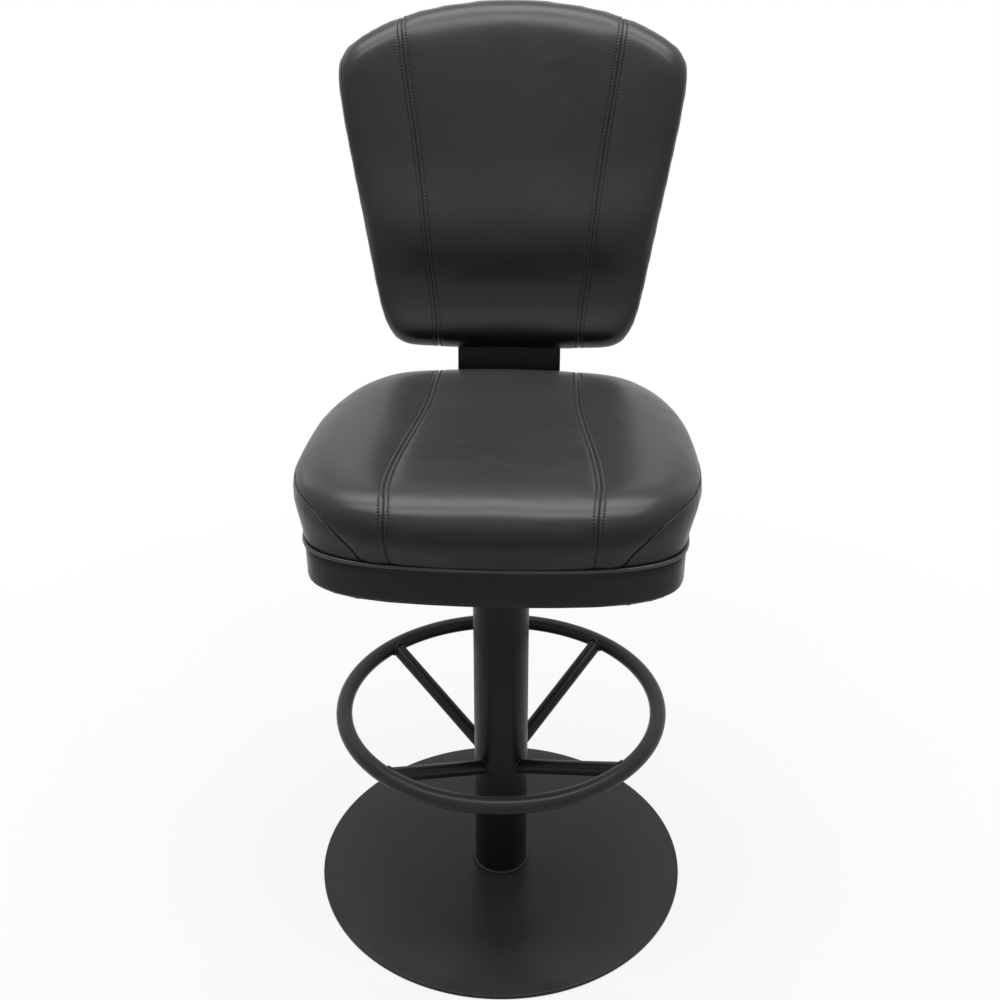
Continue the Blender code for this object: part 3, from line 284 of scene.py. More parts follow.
foot_weld = weld_bead("column_foot_weld", COLUMN_RADIUS + FOOT_BEAD * BEAD_OUT, FOOT_BEAD)
foot_weld.location.z = column_foot + FOOT_BEAD * BEAD_UP
carry(foot_weld, "pedestal", "powder_coat", powder_coat)


# Foot ring. Round tube rolled to a ring and butt welded at the rear, the joint ground nearly flush.
# A small vent hole beside the joint lets the gas out while it is welded.

RING_FACETS = 288
RING_SECTION = 32
RING_JOINT_TURN = 97.0
RING_JOINT_LENGTH = 0.007
RING_JOINT_RISE = 0.00025
VENT_FACETS = 24
VENT_RADIUS = 0.002
VENT_DEPTH = 0.002

ring_low, ring_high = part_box("footring")
ring_height = (ring_low.z + ring_high.z) / 2.0
ring_tube = (ring_high.z - ring_low.z) / 2.0
ring_radius = ring_high.x - ring_tube
begin()
bpy.ops.mesh.primitive_torus_add(
    major_segments=RING_FACETS, minor_segments=RING_SECTION, major_radius=ring_radius,
    minor_radius=ring_tube, location=(0.0, 0.0, ring_height),
)
foot_ring = bpy.context.object
foot_ring.name = "foot_ring"
for vert in foot_ring.data.vertices:
    turn = math.atan2(vert.co.y, vert.co.x)
    middle = Vector((math.cos(turn), math.sin(turn), 0.0)) * ring_radius
    from_joint = abs(turn - math.radians(RING_JOINT_TURN)) * ring_radius / RING_JOINT_LENGTH
    vert.co += (vert.co - middle).normalized() * RING_JOINT_RISE * math.exp(-from_joint ** 2)
bpy.ops.object.shade_smooth()
vent_place = (0.0, ring_radius, ring_height - ring_tube)
begin()
bpy.ops.mesh.primitive_cylinder_add(
    vertices=VENT_FACETS, radius=VENT_RADIUS, depth=2.0 * VENT_DEPTH, location=vent_place,
)
drill = bpy.context.object
take(foot_ring)
shape_by(foot_ring, "BOOLEAN", object=drill)
bpy.data.objects.remove(drill)
carry(foot_ring, "pedestal", "powder_coat", powder_coat, "footring")


# Spokes. Four round bars that slope from the ring down to the column, each end cut to fit and welded
# all round with a thin bead.

SPOKE_FACETS = 48
SPOKE_RADIUS = 0.0095
SPOKE_FALL = 0.088
SPOKE_BEAD = 0.0021
# How deep each end goes in: a share of the ring's tube and of the column's wall.
SPOKE_IN_RING = 0.3
SPOKE_IN_COLUMN = 0.5
SPOKE_ANGLES = (50.0, 140.0, 230.0, 320.0)
# How a bead finds its surface: how many of the bar's radii away, and in how many halvings.
SEARCH_RADII = 3.0
SEARCH_HALVINGS = 24


def off_column(point):
    """How far out of the column's face a point lies."""
    return point.xy.length - COLUMN_RADIUS


def off_ring(point):
    """How far out of the ring's face a point lies."""
    across = point.xy.length - ring_radius
    return math.hypot(across, point.z - ring_height) - ring_tube


def slide_onto(point, course, off_surface):
    """Move a point along a course until it lies on a surface; the course starts outside it."""
    near, far = -SPOKE_RADIUS * SEARCH_RADII, SPOKE_RADIUS * SEARCH_RADII
    for _ in range(SEARCH_HALVINGS):
        middle = (near + far) / 2.0
        if off_surface(point + course * middle) > 0.0:
            near = middle
        else:
            far = middle
    return point + course * near


def fit_bead(bead, end, course, off_surface):
    """Turn a bead round a bar's end, and let it follow the surface that the bar meets."""
    turned = course.to_track_quat("Z", "Y").to_matrix()
    for vert in bead.data.vertices:
        flat = Vector((vert.co.x, vert.co.y, 0.0))
        middle = flat.normalized() * (SPOKE_RADIUS + SPOKE_BEAD * BEAD_OUT)
        seat_point = slide_onto(end + turned @ middle, course, off_surface)
        vert.co = seat_point + turned @ (vert.co - middle)


for number, angle in enumerate(SPOKE_ANGLES, 1):
    out = Vector((math.cos(math.radians(angle)), math.sin(math.radians(angle)), 0.0))
    fall_rate = SPOKE_FALL / (ring_radius - COLUMN_RADIUS)
    outer = out * (ring_radius - ring_tube * (1.0 - SPOKE_IN_RING))
    outer.z = ring_height - fall_rate * (ring_radius - outer.xy.length)
    inner = out * (COLUMN_RADIUS - COLUMN_WALL * SPOKE_IN_COLUMN)
    inner.z = ring_height - fall_rate * (ring_radius - inner.xy.length)
    course = (outer - inner).normalized()
    begin()
    bpy.ops.mesh.primitive_cylinder_add(
        vertices=SPOKE_FACETS, radius=SPOKE_RADIUS, depth=(outer - inner).length, end_fill_type="NGON",
        location=(outer + inner) / 2.0, rotation=course.to_track_quat("Z", "Y").to_euler(),
    )
    spoke = bpy.context.object
    spoke.name = f"foot_ring_spoke_{number}"
    bpy.ops.object.transform_apply(location=True, rotation=True, scale=True)
    bpy.ops.object.shade_smooth_by_angle(angle=SHARP_ANGLE)
    bead_ring = SPOKE_RADIUS + SPOKE_BEAD * BEAD_OUT
    inner_bead = weld_bead(f"spoke_{number}_column_weld", bead_ring, SPOKE_BEAD)
    fit_bead(inner_bead, inner, -course, off_column)
    outer_bead = weld_bead(f"spoke_{number}_ring_weld", bead_ring, SPOKE_BEAD)
    fit_bead(outer_bead, outer - course * ring_tube, course, off_ring)
    take(spoke)
    inner_bead.select_set(True)
    outer_bead.select_set(True)
    bpy.ops.object.join()
    carry(spoke, "pedestal", "powder_coat", powder_coat, f"footring_spoke_{number}")


# Swivel. A turned steel housing in the top of the column, two plastic bushes, and a thrust bearing
# that carries the seat on a spindle. All of it is inside the column and the skirt.

TURNING_MARKS = 0.0004
ZINC_CLOUD = 0.004

# Turned mild steel, oiled: fine tool marks across the axis.
turned_steel, tree, shader, place = new_finish("turned_mild_steel")
stretch = add_node(tree, "ShaderNodeMapping", {"Scale": (0.05, 0.05, 1.0)}, {"Vector": place})
marks = add_node(
    tree, "ShaderNodeTexNoise", {"Scale": 1.0 / TURNING_MARKS, "Detail": 2.0},
    {"Vector": stretch.outputs["Vector"]},
)
gloss = add_node(
    tree, "ShaderNodeMapRange", {"To Min": 0.25, "To Max": 0.45}, {"Value": marks.outputs["Fac"]},
)
relief = add_node(
    tree, "ShaderNodeBump", {"Strength": 0.4, "Distance": 0.00003}, {"Height": marks.outputs["Fac"]},
)
tree.links.new(gloss.outputs["Result"], shader.inputs["Roughness"])
tree.links.new(relief.outputs["Normal"], shader.inputs["Normal"])
shader.inputs["Base Color"].default_value = linear("#b9babc")
shader.inputs["Metallic"].default_value = 1.0

# Zinc plate on pressed steel: a bluish grey with a fine cloudy spangle.
zinc_plate, tree, shader, place = new_finish("blue_zinc_plate")
spangle = add_node(
    tree, "ShaderNodeTexNoise", {"Scale": 1.0 / ZINC_CLOUD, "Detail": 4.0}, {"Vector": place},
)
tint = add_node(
    tree, "ShaderNodeMix", {"data_type": "RGBA", 6: linear("#a9adb2"), 7: linear("#c6c9cb")},
    {0: spangle.outputs["Fac"]},
)
gloss = add_node(
    tree, "ShaderNodeMapRange", {"To Min": 0.30, "To Max": 0.50}, {"Value": spangle.outputs["Fac"]},
)
tree.links.new(tint.outputs[2], shader.inputs["Base Color"])
tree.links.new(gloss.outputs["Result"], shader.inputs["Roughness"])
shader.inputs["Metallic"].default_value = 1.0

# Acetal, machined from rod: milky white with a slight sheen.
acetal, tree, shader, place = new_finish("natural_acetal")
haze = add_node(
    tree, "ShaderNodeTexNoise", {"Scale": 1.0 / TURNING_MARKS, "Detail": 1.0}, {"Vector": place},
)
milk = add_node(
    tree, "ShaderNodeMix", {"data_type": "RGBA", 6: linear("#dedad0"), 7: linear("#ebe8e0")},
    {0: haze.outputs["Fac"]},
)
tree.links.new(milk.outputs[2], shader.inputs["Base Color"])
shader.inputs["Roughness"].default_value = 0.4

dress(
    turned_steel, "swivel_housing", "bearing_lower_race", "bearing_ball_cage", "bearing_upper_race",
    "spindle", "spindle_clip",
)
dress(acetal, "upper_bush", "lower_bush")
dress(zinc_plate, "spindle_washer")


# Seat base. A coated steel plate on the spindle, bolted to a plywood board with tee nuts, a bent
# plywood hoop under the board, and a thin hardboard cover screwed to it, which shows from below.

PLY_THICKNESS = 0.0015
# A wave texture's scale for waves a metre long.
METRE_WAVES = math.tau / 20.0
WOOD_FIGURE = 0.012
HARDBOARD_GRAIN = 0.0015

# Birch plywood: pale veneers, with darker glue lines and figure along the grain.
plywood, tree, shader, place = new_finish("birch_plywood")
stretch = add_node(tree, "ShaderNodeMapping", {"Scale": (0.12, 1.0, 1.0)}, {"Vector": place})
figure = add_node(
    tree, "ShaderNodeTexNoise", {"Scale": 1.0 / WOOD_FIGURE, "Detail": 6.0, "Roughness": 0.65},
    {"Vector": stretch.outputs["Vector"]},
)
plies = add_node(
    tree, "ShaderNodeTexWave",
    {"bands_direction": "Z", "Scale": METRE_WAVES / (2.0 * PLY_THICKNESS), "Distortion": 0.2},
    {"Vector": place},
)
veneer = add_node(
    tree, "ShaderNodeMix", {"data_type": "RGBA", 6: linear("#b98f5d"), 7: linear("#dcbf92")},
    {0: figure.outputs["Fac"]},
)
glued = add_node(
    tree, "ShaderNodeMix",
    {"data_type": "RGBA", "blend_type": "MULTIPLY", 0: 0.35},
    {6: veneer.outputs[2], 7: plies.outputs["Color"]},
)
tree.links.new(glued.outputs[2], shader.inputs["Base Color"])
shader.inputs["Roughness"].default_value = 0.7

# Hardboard, painted black on its face: flat, with pressed fibres showing.
hardboard, tree, shader, place = new_finish("black_hardboard")
fibres = add_node(
    tree, "ShaderNodeTexNoise", {"Scale": 1.0 / HARDBOARD_GRAIN, "Detail": 5.0, "Roughness": 0.7},
    {"Vector": place},
)
pressed = add_node(
    tree, "ShaderNodeMix", {"data_type": "RGBA", 6: linear("#1b1a19"), 7: linear("#2d2b29")},
    {0: fibres.outputs["Fac"]},
)
relief = add_node(
    tree, "ShaderNodeBump", {"Strength": 0.5, "Distance": 0.0001}, {"Height": fibres.outputs["Fac"]},
)
tree.links.new(pressed.outputs[2], shader.inputs["Base Color"])
tree.links.new(relief.outputs["Normal"], shader.inputs["Normal"])
shader.inputs["Roughness"].default_value = 0.8

dress(powder_coat, "seat_plate")
dress(hardboard, "bottom_cover")
dress(plywood, "seat_board", "skirt_frame", "back_board")
dress(zinc_plate, *[
    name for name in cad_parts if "_bolt_" in name or "_tnut_" in name or "_screw_" in name
])


# Skirt cover. A strip of vinyl wrapped round the plywood hoop: it rolls over at the top below the
# piping, and turns under at the bottom, where it is stapled out of sight.

OUTLINE_POINTS = 360
KNOT_POINTS = 48
SKIRT_HALF_WIDTH = 0.2145
SKIRT_FRONT = 0.229
SKIRT_REAR = 0.196
SKIRT_OUTLINE = (
    (0.0, -1.0), (0.427, -0.983), (0.711, -0.939), (0.891, -0.856), (0.976, -0.734), (1.0, -0.524),
    (1.0, -0.175), (0.976, 0.23), (0.891, 0.622), (0.701, 0.883), (0.379, 0.98), (0.0, 1.0),
)
VINYL_THICKNESS = 0.0012
# Section of the skirt from its tucked-in top down to its hem: how far out of the outline, and how high.
SKIRT_SECTION = (
    (-0.0013, 0.6048), (-0.0013, 0.6010), (-0.0010, 0.6001), (-0.0004, 0.5993), (0.0001, 0.5983),
    (0.0002, 0.590), (0.0, 0.580), (0.0, 0.570), (0.0, 0.5640), (-0.0004, 0.5621), (-0.0014, 0.5608),
    (-0.0028, 0.5602), (-0.0070, 0.5602),
)
# The notch for the back bar in the rear of the strip.
BAR_CLEARANCE = 0.0015
NOTCH_HEIGHT = 0.6025
NOTCH_DEPTH = 0.05
NOTCH_RISE = 0.0066
GRAIN_CELL = 0.0011
VINYL_CLOUD = 0.060
SEAM_REACH = 0.020
# Lines drawn beside a seam: the attributes that it is measured by, its place and half its width across
# the seam, its depth, whether it is sunk or raised, and its colour. Painted shade, near black, fills
# the gap where two panels meet, the holes of a row of stitches and the crease beside a gusset's folded
# edge. The folded edge itself is painted paler, as a painted highlight where it catches the light.
VINYL_LINES = (
    # Painted shade: near black in the seam's gap, the stitch holes and the crease beside the gusset's
    # edge.
    ("seam_side", "seam", 0.0, 0.0005, 0.0004, True, "#08080a"),
    ("row_side", "row", 0.0, 0.0005, 0.0003, True, "#08080a"),
    ("gusset_side", "gusset", 0.0005, 0.0007, 0.0006, True, "#050505"),
    # Painted highlight: the gusset's raised edge is painted paler, as if it caught the light.
    ("gusset_side", "gusset", -0.0004, 0.0005, 0.0005, False, "#303033"),
)
LINE_STARTS = 0.6


def between(a, b, c, d, share):
    """The point at a share of the way from b to c on a smooth curve through a, b, c and d."""
    return 0.5 * (
        2.0 * b + (c - a) * share + (2.0 * a - 5.0 * b + 4.0 * c - d) * share ** 2
        + (3.0 * b - a - 3.0 * c + d) * share ** 3
    )


def outline(shares, half_width, front, rear):
    """Even points on a smooth line through half an outline and its mirror, from the front centre."""
    half = [(x * half_width, y * (front if y < 0.0 else rear)) for x, y in shares]
    knots = np.array(half + [(-x, y) for x, y in half[-2:0:-1]])
    before, after, beyond = np.roll(knots, 1, 0), np.roll(knots, -1, 0), np.roll(knots, -2, 0)
    dense = [
        between(before, knots, after, beyond, share)
        for share in np.linspace(0.0, 1.0, KNOT_POINTS, endpoint=False)
    ]
    line = np.stack(dense, axis=1).reshape(-1, 2)
    line = np.vstack([line, line[:1]])
    run = np.concatenate([[0.0], np.cumsum(np.linalg.norm(np.diff(line, axis=0), axis=1))])
    even = np.linspace(0.0, run[-1], OUTLINE_POINTS, endpoint=False)
    return np.stack([np.interp(even, run, line[:, axis]) for axis in (0, 1)], axis=1)


def offset(line, distance):
    """Move an outline outward, or inward where the distance is negative."""
    along = np.roll(line, -1, 0) - np.roll(line, 1, 0)
    outward = np.stack([along[:, 1], -along[:, 0]], axis=1)
    return line + outward / np.linalg.norm(outward, axis=1)[:, None] * np.reshape(distance, (-1, 1))


def at_height(line, height):
    """Give the flat points of a line one height, or a height each."""
    return np.column_stack([line, np.broadcast_to(height, len(line))])


def loft(name, rings, capped=False):
    """Add a circle, put it on the first ring of points and extrude it through the others."""
    begin()
    bpy.ops.mesh.primitive_circle_add(vertices=len(rings[0]), radius=1.0, enter_editmode=True)
    piece = bpy.context.object
    piece.name = name
    mesh = bmesh.from_edit_mesh(piece.data)
    number = mesh.verts.layers.int.new("place in ring")
    for index, vert in enumerate(mesh.verts):
        vert[number] = index
        vert.co = rings[0][index]
    if capped:
        bpy.ops.mesh.edge_face_add()
    for ring in rings[1:]:
        if capped:
            bpy.ops.mesh.extrude_region_move()
        else:
            bpy.ops.mesh.extrude_edges_move()
        mesh = bmesh.from_edit_mesh(piece.data)
        number = mesh.verts.layers.int["place in ring"]
        for vert in mesh.verts:
            if vert.select:
                vert.co = ring[vert[number]]
    bmesh.update_edit_mesh(piece.data)
    bpy.ops.mesh.select_all(action="SELECT")
    bpy.ops.mesh.normals_make_consistent(inside=False)
    bpy.ops.object.mode_set(mode="OBJECT")
    return piece


# Upholstery vinyl, embossed with a fine leather grain and calendered to a soft sheen.
black_vinyl, tree, shader, place = new_finish("black_upholstery_vinyl")
cells = add_node(
    tree, "ShaderNodeTexVoronoi",
    {"feature": "SMOOTH_F1", "Scale": 1.0 / GRAIN_CELL, "Smoothness": 0.6, "Randomness": 0.9},
    {"Vector": place},
)
cloud = add_node(
    tree, "ShaderNodeTexNoise", {"Scale": 1.0 / VINYL_CLOUD, "Detail": 5.0, "Roughness": 0.55},
    {"Vector": place},
)
gloss = add_node(
    tree, "ShaderNodeMapRange", {"From Min": 0.3, "From Max": 0.7, "To Min": 0.28, "To Max": 0.35},
    {"Value": cloud.outputs["Fac"]},
)
hide = add_node(
    tree, "ShaderNodeMix", {"data_type": "RGBA", 6: linear("#1e1e20"), 7: linear("#242426")},
    {0: cloud.outputs["Fac"]},
)
relief = add_node(
    tree, "ShaderNodeBump", {"Strength": 0.5, "Distance": 0.00005},
    {"Height": cells.outputs["Distance"]},
)
shade = hide.outputs[2]
# Each line is sunk or raised by a bump, and its tone is painted over the vinyl's colour: painted shade
# for the dark lines, a painted highlight for the pale one.
for side, near, place_across, half_width, depth, sunk, tone in VINYL_LINES:
    away = add_node(tree, "ShaderNodeAttribute", {"attribute_name": side})
    close = add_node(tree, "ShaderNodeAttribute", {"attribute_name": near})
    gap = add_node(
        tree, "ShaderNodeMath", {"operation": "SUBTRACT", 1: place_across / SEAM_REACH},
        {0: away.outputs["Fac"]},
    )
    gap = add_node(tree, "ShaderNodeMath", {"operation": "ABSOLUTE"}, {0: gap.outputs[0]})
    line = add_node(
        tree, "ShaderNodeMapRange",
        {"interpolation_type": "SMOOTHSTEP", "From Min": 0.0, "From Max": half_width / SEAM_REACH,
         "To Min": 1.0, "To Max": 0.0},
        {"Value": gap.outputs[0]},
    )
    sewn = add_node(
        tree, "ShaderNodeMath", {"operation": "GREATER_THAN", 1: LINE_STARTS},
        {0: close.outputs["Fac"]},
    )
    line = add_node(
        tree, "ShaderNodeMath", {"operation": "MULTIPLY"}, {0: line.outputs[0], 1: sewn.outputs[0]},
    )
    relief = add_node(
        tree, "ShaderNodeBump", {"Strength": 1.0, "Distance": depth, "invert": sunk},
        {"Height": line.outputs[0], "Normal": relief.outputs["Normal"]},
    )
    # Paint the line's tone over the vinyl: painted shade for the dark lines, a painted highlight for
    # the pale one.
    painted_line = add_node(
        tree, "ShaderNodeMix", {"data_type": "RGBA", 7: linear(tone)}, {0: line.outputs[0], 6: shade},
    )
    shade = painted_line.outputs[2]
tree.links.new(shade, shader.inputs["Base Color"])
tree.links.new(gloss.outputs["Result"], shader.inputs["Roughness"])
tree.links.new(relief.outputs["Normal"], shader.inputs["Normal"])
shader.inputs["Specular IOR Level"].default_value = 0.15

skirt_line = outline(SKIRT_OUTLINE, SKIRT_HALF_WIDTH, SKIRT_FRONT, SKIRT_REAR)
skirt = loft("skirt_cover_vinyl", [at_height(offset(skirt_line, out), up) for out, up in SKIRT_SECTION])
shape_by(skirt, "SOLIDIFY", thickness=VINYL_THICKNESS, offset=-1.0)
bpy.ops.object.shade_smooth()

bar_low, bar_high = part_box("back_bar")
begin()
bpy.ops.mesh.primitive_cube_add(size=1.0, location=(0.0, SKIRT_REAR, NOTCH_HEIGHT))
notch = bpy.context.object
notch.scale = (bar_high.x - bar_low.x + 2.0 * BAR_CLEARANCE, NOTCH_DEPTH, NOTCH_RISE)
take(skirt)
shape_by(skirt, "BOOLEAN", object=notch)
bpy.data.objects.remove(notch)
carry(skirt, "seat", "vinyl", black_vinyl, "skirt_cover")


# Seat piping. A strip of the same vinyl sewn round a cord, caught between the cushion and the skirt all
# round but for the back bar.

PIPING_RADIUS = 0.0025
PIPING_ROUNDS = 4
PIPING_OUT = 0.0007
PIPING_HEIGHT = 0.6049
PIPING_GAP = 0.0718


def welt(name, line, height, closed):
    """A cord of piping: a curve along a line, with a round section, made a mesh."""
    begin()
    bpy.ops.curve.primitive_bezier_circle_add(radius=1.0)
    cord = bpy.context.object
    cord.name = name
    cord.data.splines.clear()
    run = cord.data.splines.new("POLY")
    run.points.add(len(line) - 1)
    for knot, point in zip(run.points, line):
        knot.co = (*point, height, 1.0)
    run.use_cyclic_u = closed
    cord.data.use_fill_caps = not closed
    cord.data.bevel_depth = PIPING_RADIUS
    cord.data.bevel_resolution = PIPING_ROUNDS
    bpy.ops.object.convert(target="MESH")
    bpy.ops.object.shade_smooth()
    return cord


# The same vinyl pulled tight over the cord: its grain is stretched flat, so it shines more.
welt_vinyl = black_vinyl.copy()
welt_vinyl.name = "black_vinyl_stretched_over_cord"
shader = welt_vinyl.node_tree.nodes["Principled BSDF"]
shader.inputs["Specular IOR Level"].default_value = 0.45

welt_line = offset(skirt_line, PIPING_OUT)
kept = [point for point in welt_line if point[1] < 0.0 or abs(point[0]) > PIPING_GAP]
start = next(index for index, point in enumerate(kept) if point[0] < 0.0 < point[1])
seat_piping = welt("seat_piping_welt", kept[start:] + kept[:start], PIPING_HEIGHT, closed=False)
carry(seat_piping, "seat", "vinyl", welt_vinyl, "seat_piping")


# Seat cushion. Moulded foam on the board under a sewn cover: a panel runs over it between two long
# seams, topstitched on both sides, and a gusset closes each side. The foam swells between the seams.

SEAT_HALF_WIDTH = 0.2340
SEAT_FRONT = 0.2500
SEAT_REAR = 0.2170
SEAT_OUTLINE = (
    (0.0, -1.0), (0.426, -0.98), (0.723, -0.896), (0.906, -0.72), (0.987, -0.472), (1.0, -0.2),
    (0.974, 0.208), (0.878, 0.602), (0.692, 0.87), (0.378, 0.977), (0.0, 1.0),
)
SEAT_CENTRE = (0.0, -0.015)
SEAT_FOOT = 0.6062
SEAT_FOOT_OUT = 0.0010
SEAT_WIDEST = 0.656
SEAT_FACE = 0.6855
SEAT_SHOULDER = 0.042
# At the front the cushion rolls over further: from which share of its depth, how much deeper, and how
# much lower it is widest.
SEAT_ROLL_FROM = (0.45, 0.95)
SEAT_ROLL_DEPTH = 0.004
SEAT_ROLL_DROP = 0.003
SEAT_CROWN = 0.0045
SEAT_SWELL = 0.003
SEAT_BOARD_TOP = 0.6183
SEAT_SEAM_FRONT = 0.1140
SEAT_SEAM_REAR = 0.0930
SEAT_SEAM_TURN = (-0.195, 0.075)
SEAT_SEAM_RUN = (-0.19, 0.16, 0.645)
SEAT_SEAM_DRAW = 0.0045
SEAT_ROW_END = 0.652
# How slack the cover is below its widest line at the front, and from where it is slacker at the sides.
SEAT_SLACK = 0.75
SEAT_SLACK_FROM = (0.5, 0.9)
SEAT_FOOT_HELD = 0.014
# Where the cover is worn into faint waves: the middle, the spread, the waves' lengths and their depth.
SEAT_WORN = ((0.005, -0.050), (0.085, 0.120), (0.050, 0.014), 0.0008)
SEAT_GUSSET = (
    (0.1385, -0.2170, 0.6040), (0.1432, -0.2220, 0.6110), (0.1487, -0.2260, 0.6195),
    (0.1543, -0.2263, 0.6280), (0.1604, -0.2252, 0.6355), (0.1680, -0.2220, 0.6445),
    (0.1760, -0.2170, 0.6515), (0.1865, -0.2075, 0.6580), (0.1970, -0.1940, 0.6620),
    (0.2090, -0.1745, 0.6640), (0.2220, -0.1400, 0.6640), (0.2310, -0.0900, 0.6635),
    (0.2350, -0.0200, 0.6630), (0.2310, 0.0500, 0.6620), (0.2180, 0.1100, 0.6590),
    (0.1980, 0.1530, 0.6500), (0.1800, 0.1740, 0.6340), (0.1650, 0.1830, 0.6160),
    (0.1570, 0.1870, 0.6040),
)
# Small creases where sitters have pulled the cover: the course of each, then its depth and width.
SEAT_CREASES = (
    (((0.056, -0.144), (0.071, -0.154), (0.087, -0.163)), 0.00030, 0.0020),
    (((0.072, -0.146), (0.079, -0.157), (0.083, -0.168)), 0.00028, 0.0020),
    (((0.084, -0.159), (0.092, -0.162), (0.101, -0.168)), 0.00028, 0.0020),
)

# How either cushion is blocked out, swollen, held, traced, sewn and stitched.
CUSHION_CELL = 0.006
BLOCK_DROP = 0.008
BELLY_STEPS = 8
SHOULDER_STEPS = 8
SMOOTHING = 8
SWELL_FRAMES = 20
SWELL_PRESSURE = 4.0
LEAST_HOLD = 0.02
LEAST_MOVE = 1e-9
HOLD_WIDTH = 0.006
HELD_AT_SEAM = 0.9
HELD_AT_GUSSET = 0.8
GUSSET_KNOT_POINTS = 24
LINE_STEP = 0.0005
SEAM_FAN = 120
SEAM_FAN_STEP = 0.001
ABOVE_CUSHIONS = 2.0
FOOT_MARGIN = 0.004
AT_FOOT = 1e-5
# How near a long seam its cells are halved and how often, and the shares of that reach for gussets
# and for smoothing.
FINE_REACH = 0.0080
FINE_HALVINGS = 2
FINE_AT_GUSSET = 0.6
SMOOTH_SHARE = 1.2
SMOOTH_TIMES = 12
NEEDLE_GAP = 0.0053
STITCH_PITCH = 0.0040
STITCH_LENGTH = 0.0031
THREAD_RADIUS = 0.00036
THREAD_TWIST = 0.0005
THREAD_FACETS = 6
THREAD_DIP = 1.1
THREAD_MIDDLE = 0.1
END_LEAN = 0.5
# Depth and width of each part of a topstitched seam's section.
SEAM_VALLEY = (0.0009, 0.0090)
SEAM_GROOVE = (0.0008, 0.0012)
SEAM_LIP = (0.0005, 0.0017, 0.0026)
ROW_SINK = (0.0008, 0.0011)
# How much each stitch puckers its row, the mark left between stitches and at one, and how long and how
# strong the uneven stretches of a seam's lip are.
PUCKER = 0.40
ROW_MARK = (0.5, 0.625)
LIP_WANDER = 0.012
LIP_UNEVEN = 0.5
LIP_NOISE = (7.0, 3.0)
# A gusset's edge stands proud, and the panel beside it dips to meet it.
PANEL_DIP = (0.0015, 0.0032)
GUSSET_DIP = (0.0003, 0.0040)
GUSSET_EDGE = (0.0003, 0.0008)
CREASE_REACH = 0.018
# The soft lips of a crease: their share of its depth, and how many of its widths away they lie.
CREASE_LIPS = (0.5, 1.6)
# The cover is worn on its face: the share of its normal that points out, from edge to face.
WORN_FACE = (0.5, 0.9)
WORN_NOISE = 5.0
CALMING = 14


def cushion_block(name, foot, wide, heights, shoulder, slack=0.0, slant=0.0):
    """The closed block that a cushion swells from: drawn-in sides, a rolled shoulder, a flat face."""
    slack, slant = (np.broadcast_to(share, len(foot))[:, None] for share in (slack, slant))
    foot_height, widest_height, face_height = heights
    rings = [at_height(foot, foot_height - BLOCK_DROP)]
    for step in range(BELLY_STEPS + 1):
        share = step / BELLY_STEPS
        full, drawn_in = math.sqrt(1.0 - (1.0 - share) ** 2), share * share * (3.0 - 2.0 * share)
        out = full + (drawn_in - full) * slack
        height = foot_height + (widest_height - foot_height) * share
        rings.append(at_height(foot + (wide - foot) * out, height))
    face = offset(wide, -shoulder)
    for step in range(1, SHOULDER_STEPS + 1):
        turn = math.pi / 2.0 * step / SHOULDER_STEPS
        out, up = (max(side, 0.0) ** (1.0 + slant) for side in (math.cos(turn), math.sin(turn)))
        height = widest_height + (face_height - widest_height) * up[:, 0]
        rings.append(at_height(face + (wide - face) * out, height))
    block = loft(name, rings, capped=True)
    shape_by(block, "REMESH", mode="VOXEL", voxel_size=CUSHION_CELL)
    shape_by(block, "SMOOTH", iterations=SMOOTHING)
    return block


def places(piece):
    """The piece's vertices as an array of points."""
    flat = np.empty(len(piece.data.vertices) * 3)
    piece.data.vertices.foreach_get("co", flat)
    return flat.reshape(-1, 3)


def put(piece, points):
    """Write an array of points back to the piece's vertices."""
    piece.data.vertices.foreach_set("co", points.ravel())
    piece.data.update()


def outward(piece):
    """The piece's vertex normals as an array."""
    flat = np.empty(len(piece.data.vertices) * 3)
    piece.data.vertex_normals.foreach_get("vector", flat)
    return flat.reshape(-1, 3)


def eased(low, high, value):
    """0 below low, 1 above high, and a smooth rise between them."""
    share = np.clip((value - low) / (high - low), 0.0, 1.0)
    return share * share * (3.0 - 2.0 * share)


def outline_share(points, line, centre):
    """How far out each point lies, from 0 at the centre to 1 on an outline."""
    way = points[:, :2] - centre
    rim = line - centre
    turn = np.arctan2(rim[:, 1], rim[:, 0])
    order = np.argsort(turn)
    radius = np.interp(
        np.arctan2(way[:, 1], way[:, 0]), turn[order], np.linalg.norm(rim[order], axis=1),
        period=math.tau,
    )
    return np.linalg.norm(way, axis=1) / radius


def swell(cushion, held, most):
    """Let the foam push the cover out, as cloth under pressure, where nothing holds it."""
    rest = places(cushion)
    group = cushion.vertex_groups.new(name="held")
    for index, weight in enumerate(held):
        if weight > LEAST_HOLD:
            group.add([index], float(weight), "REPLACE")
    cloth = cushion.modifiers.new("swelling", "CLOTH")
    cloth.settings.vertex_group_mass = group.name
    cloth.settings.use_pressure = True
    cloth.settings.uniform_pressure_force = SWELL_PRESSURE
    cloth.settings.effector_weights.gravity = 0.0
    cloth.point_cache.frame_end = SWELL_FRAMES
    for step in range(1, SWELL_FRAMES + 1):
        bpy.context.scene.frame_set(step)
    take(cushion)
    bpy.ops.object.modifier_apply(modifier=cloth.name)
    bpy.context.scene.frame_set(1)
    moved = places(cushion) - rest
    length = np.linalg.norm(moved, axis=1)[:, None]
    put(cushion, rest + moved * most * np.tanh(length / most) / np.maximum(length, LEAST_MOVE))
    cushion.vertex_groups.clear()
    shape_by(cushion, "SMOOTH", iterations=CALMING)


def even_line(points):
    """Even points along a line through the given ones."""
    points = np.array(points)
    run = np.concatenate([[0.0], np.cumsum(np.linalg.norm(np.diff(points, axis=0), axis=1))])
    even = np.arange(0.0, run[-1], LINE_STEP)
    return np.stack([np.interp(even, run, points[:, axis]) for axis in range(3)], axis=1)


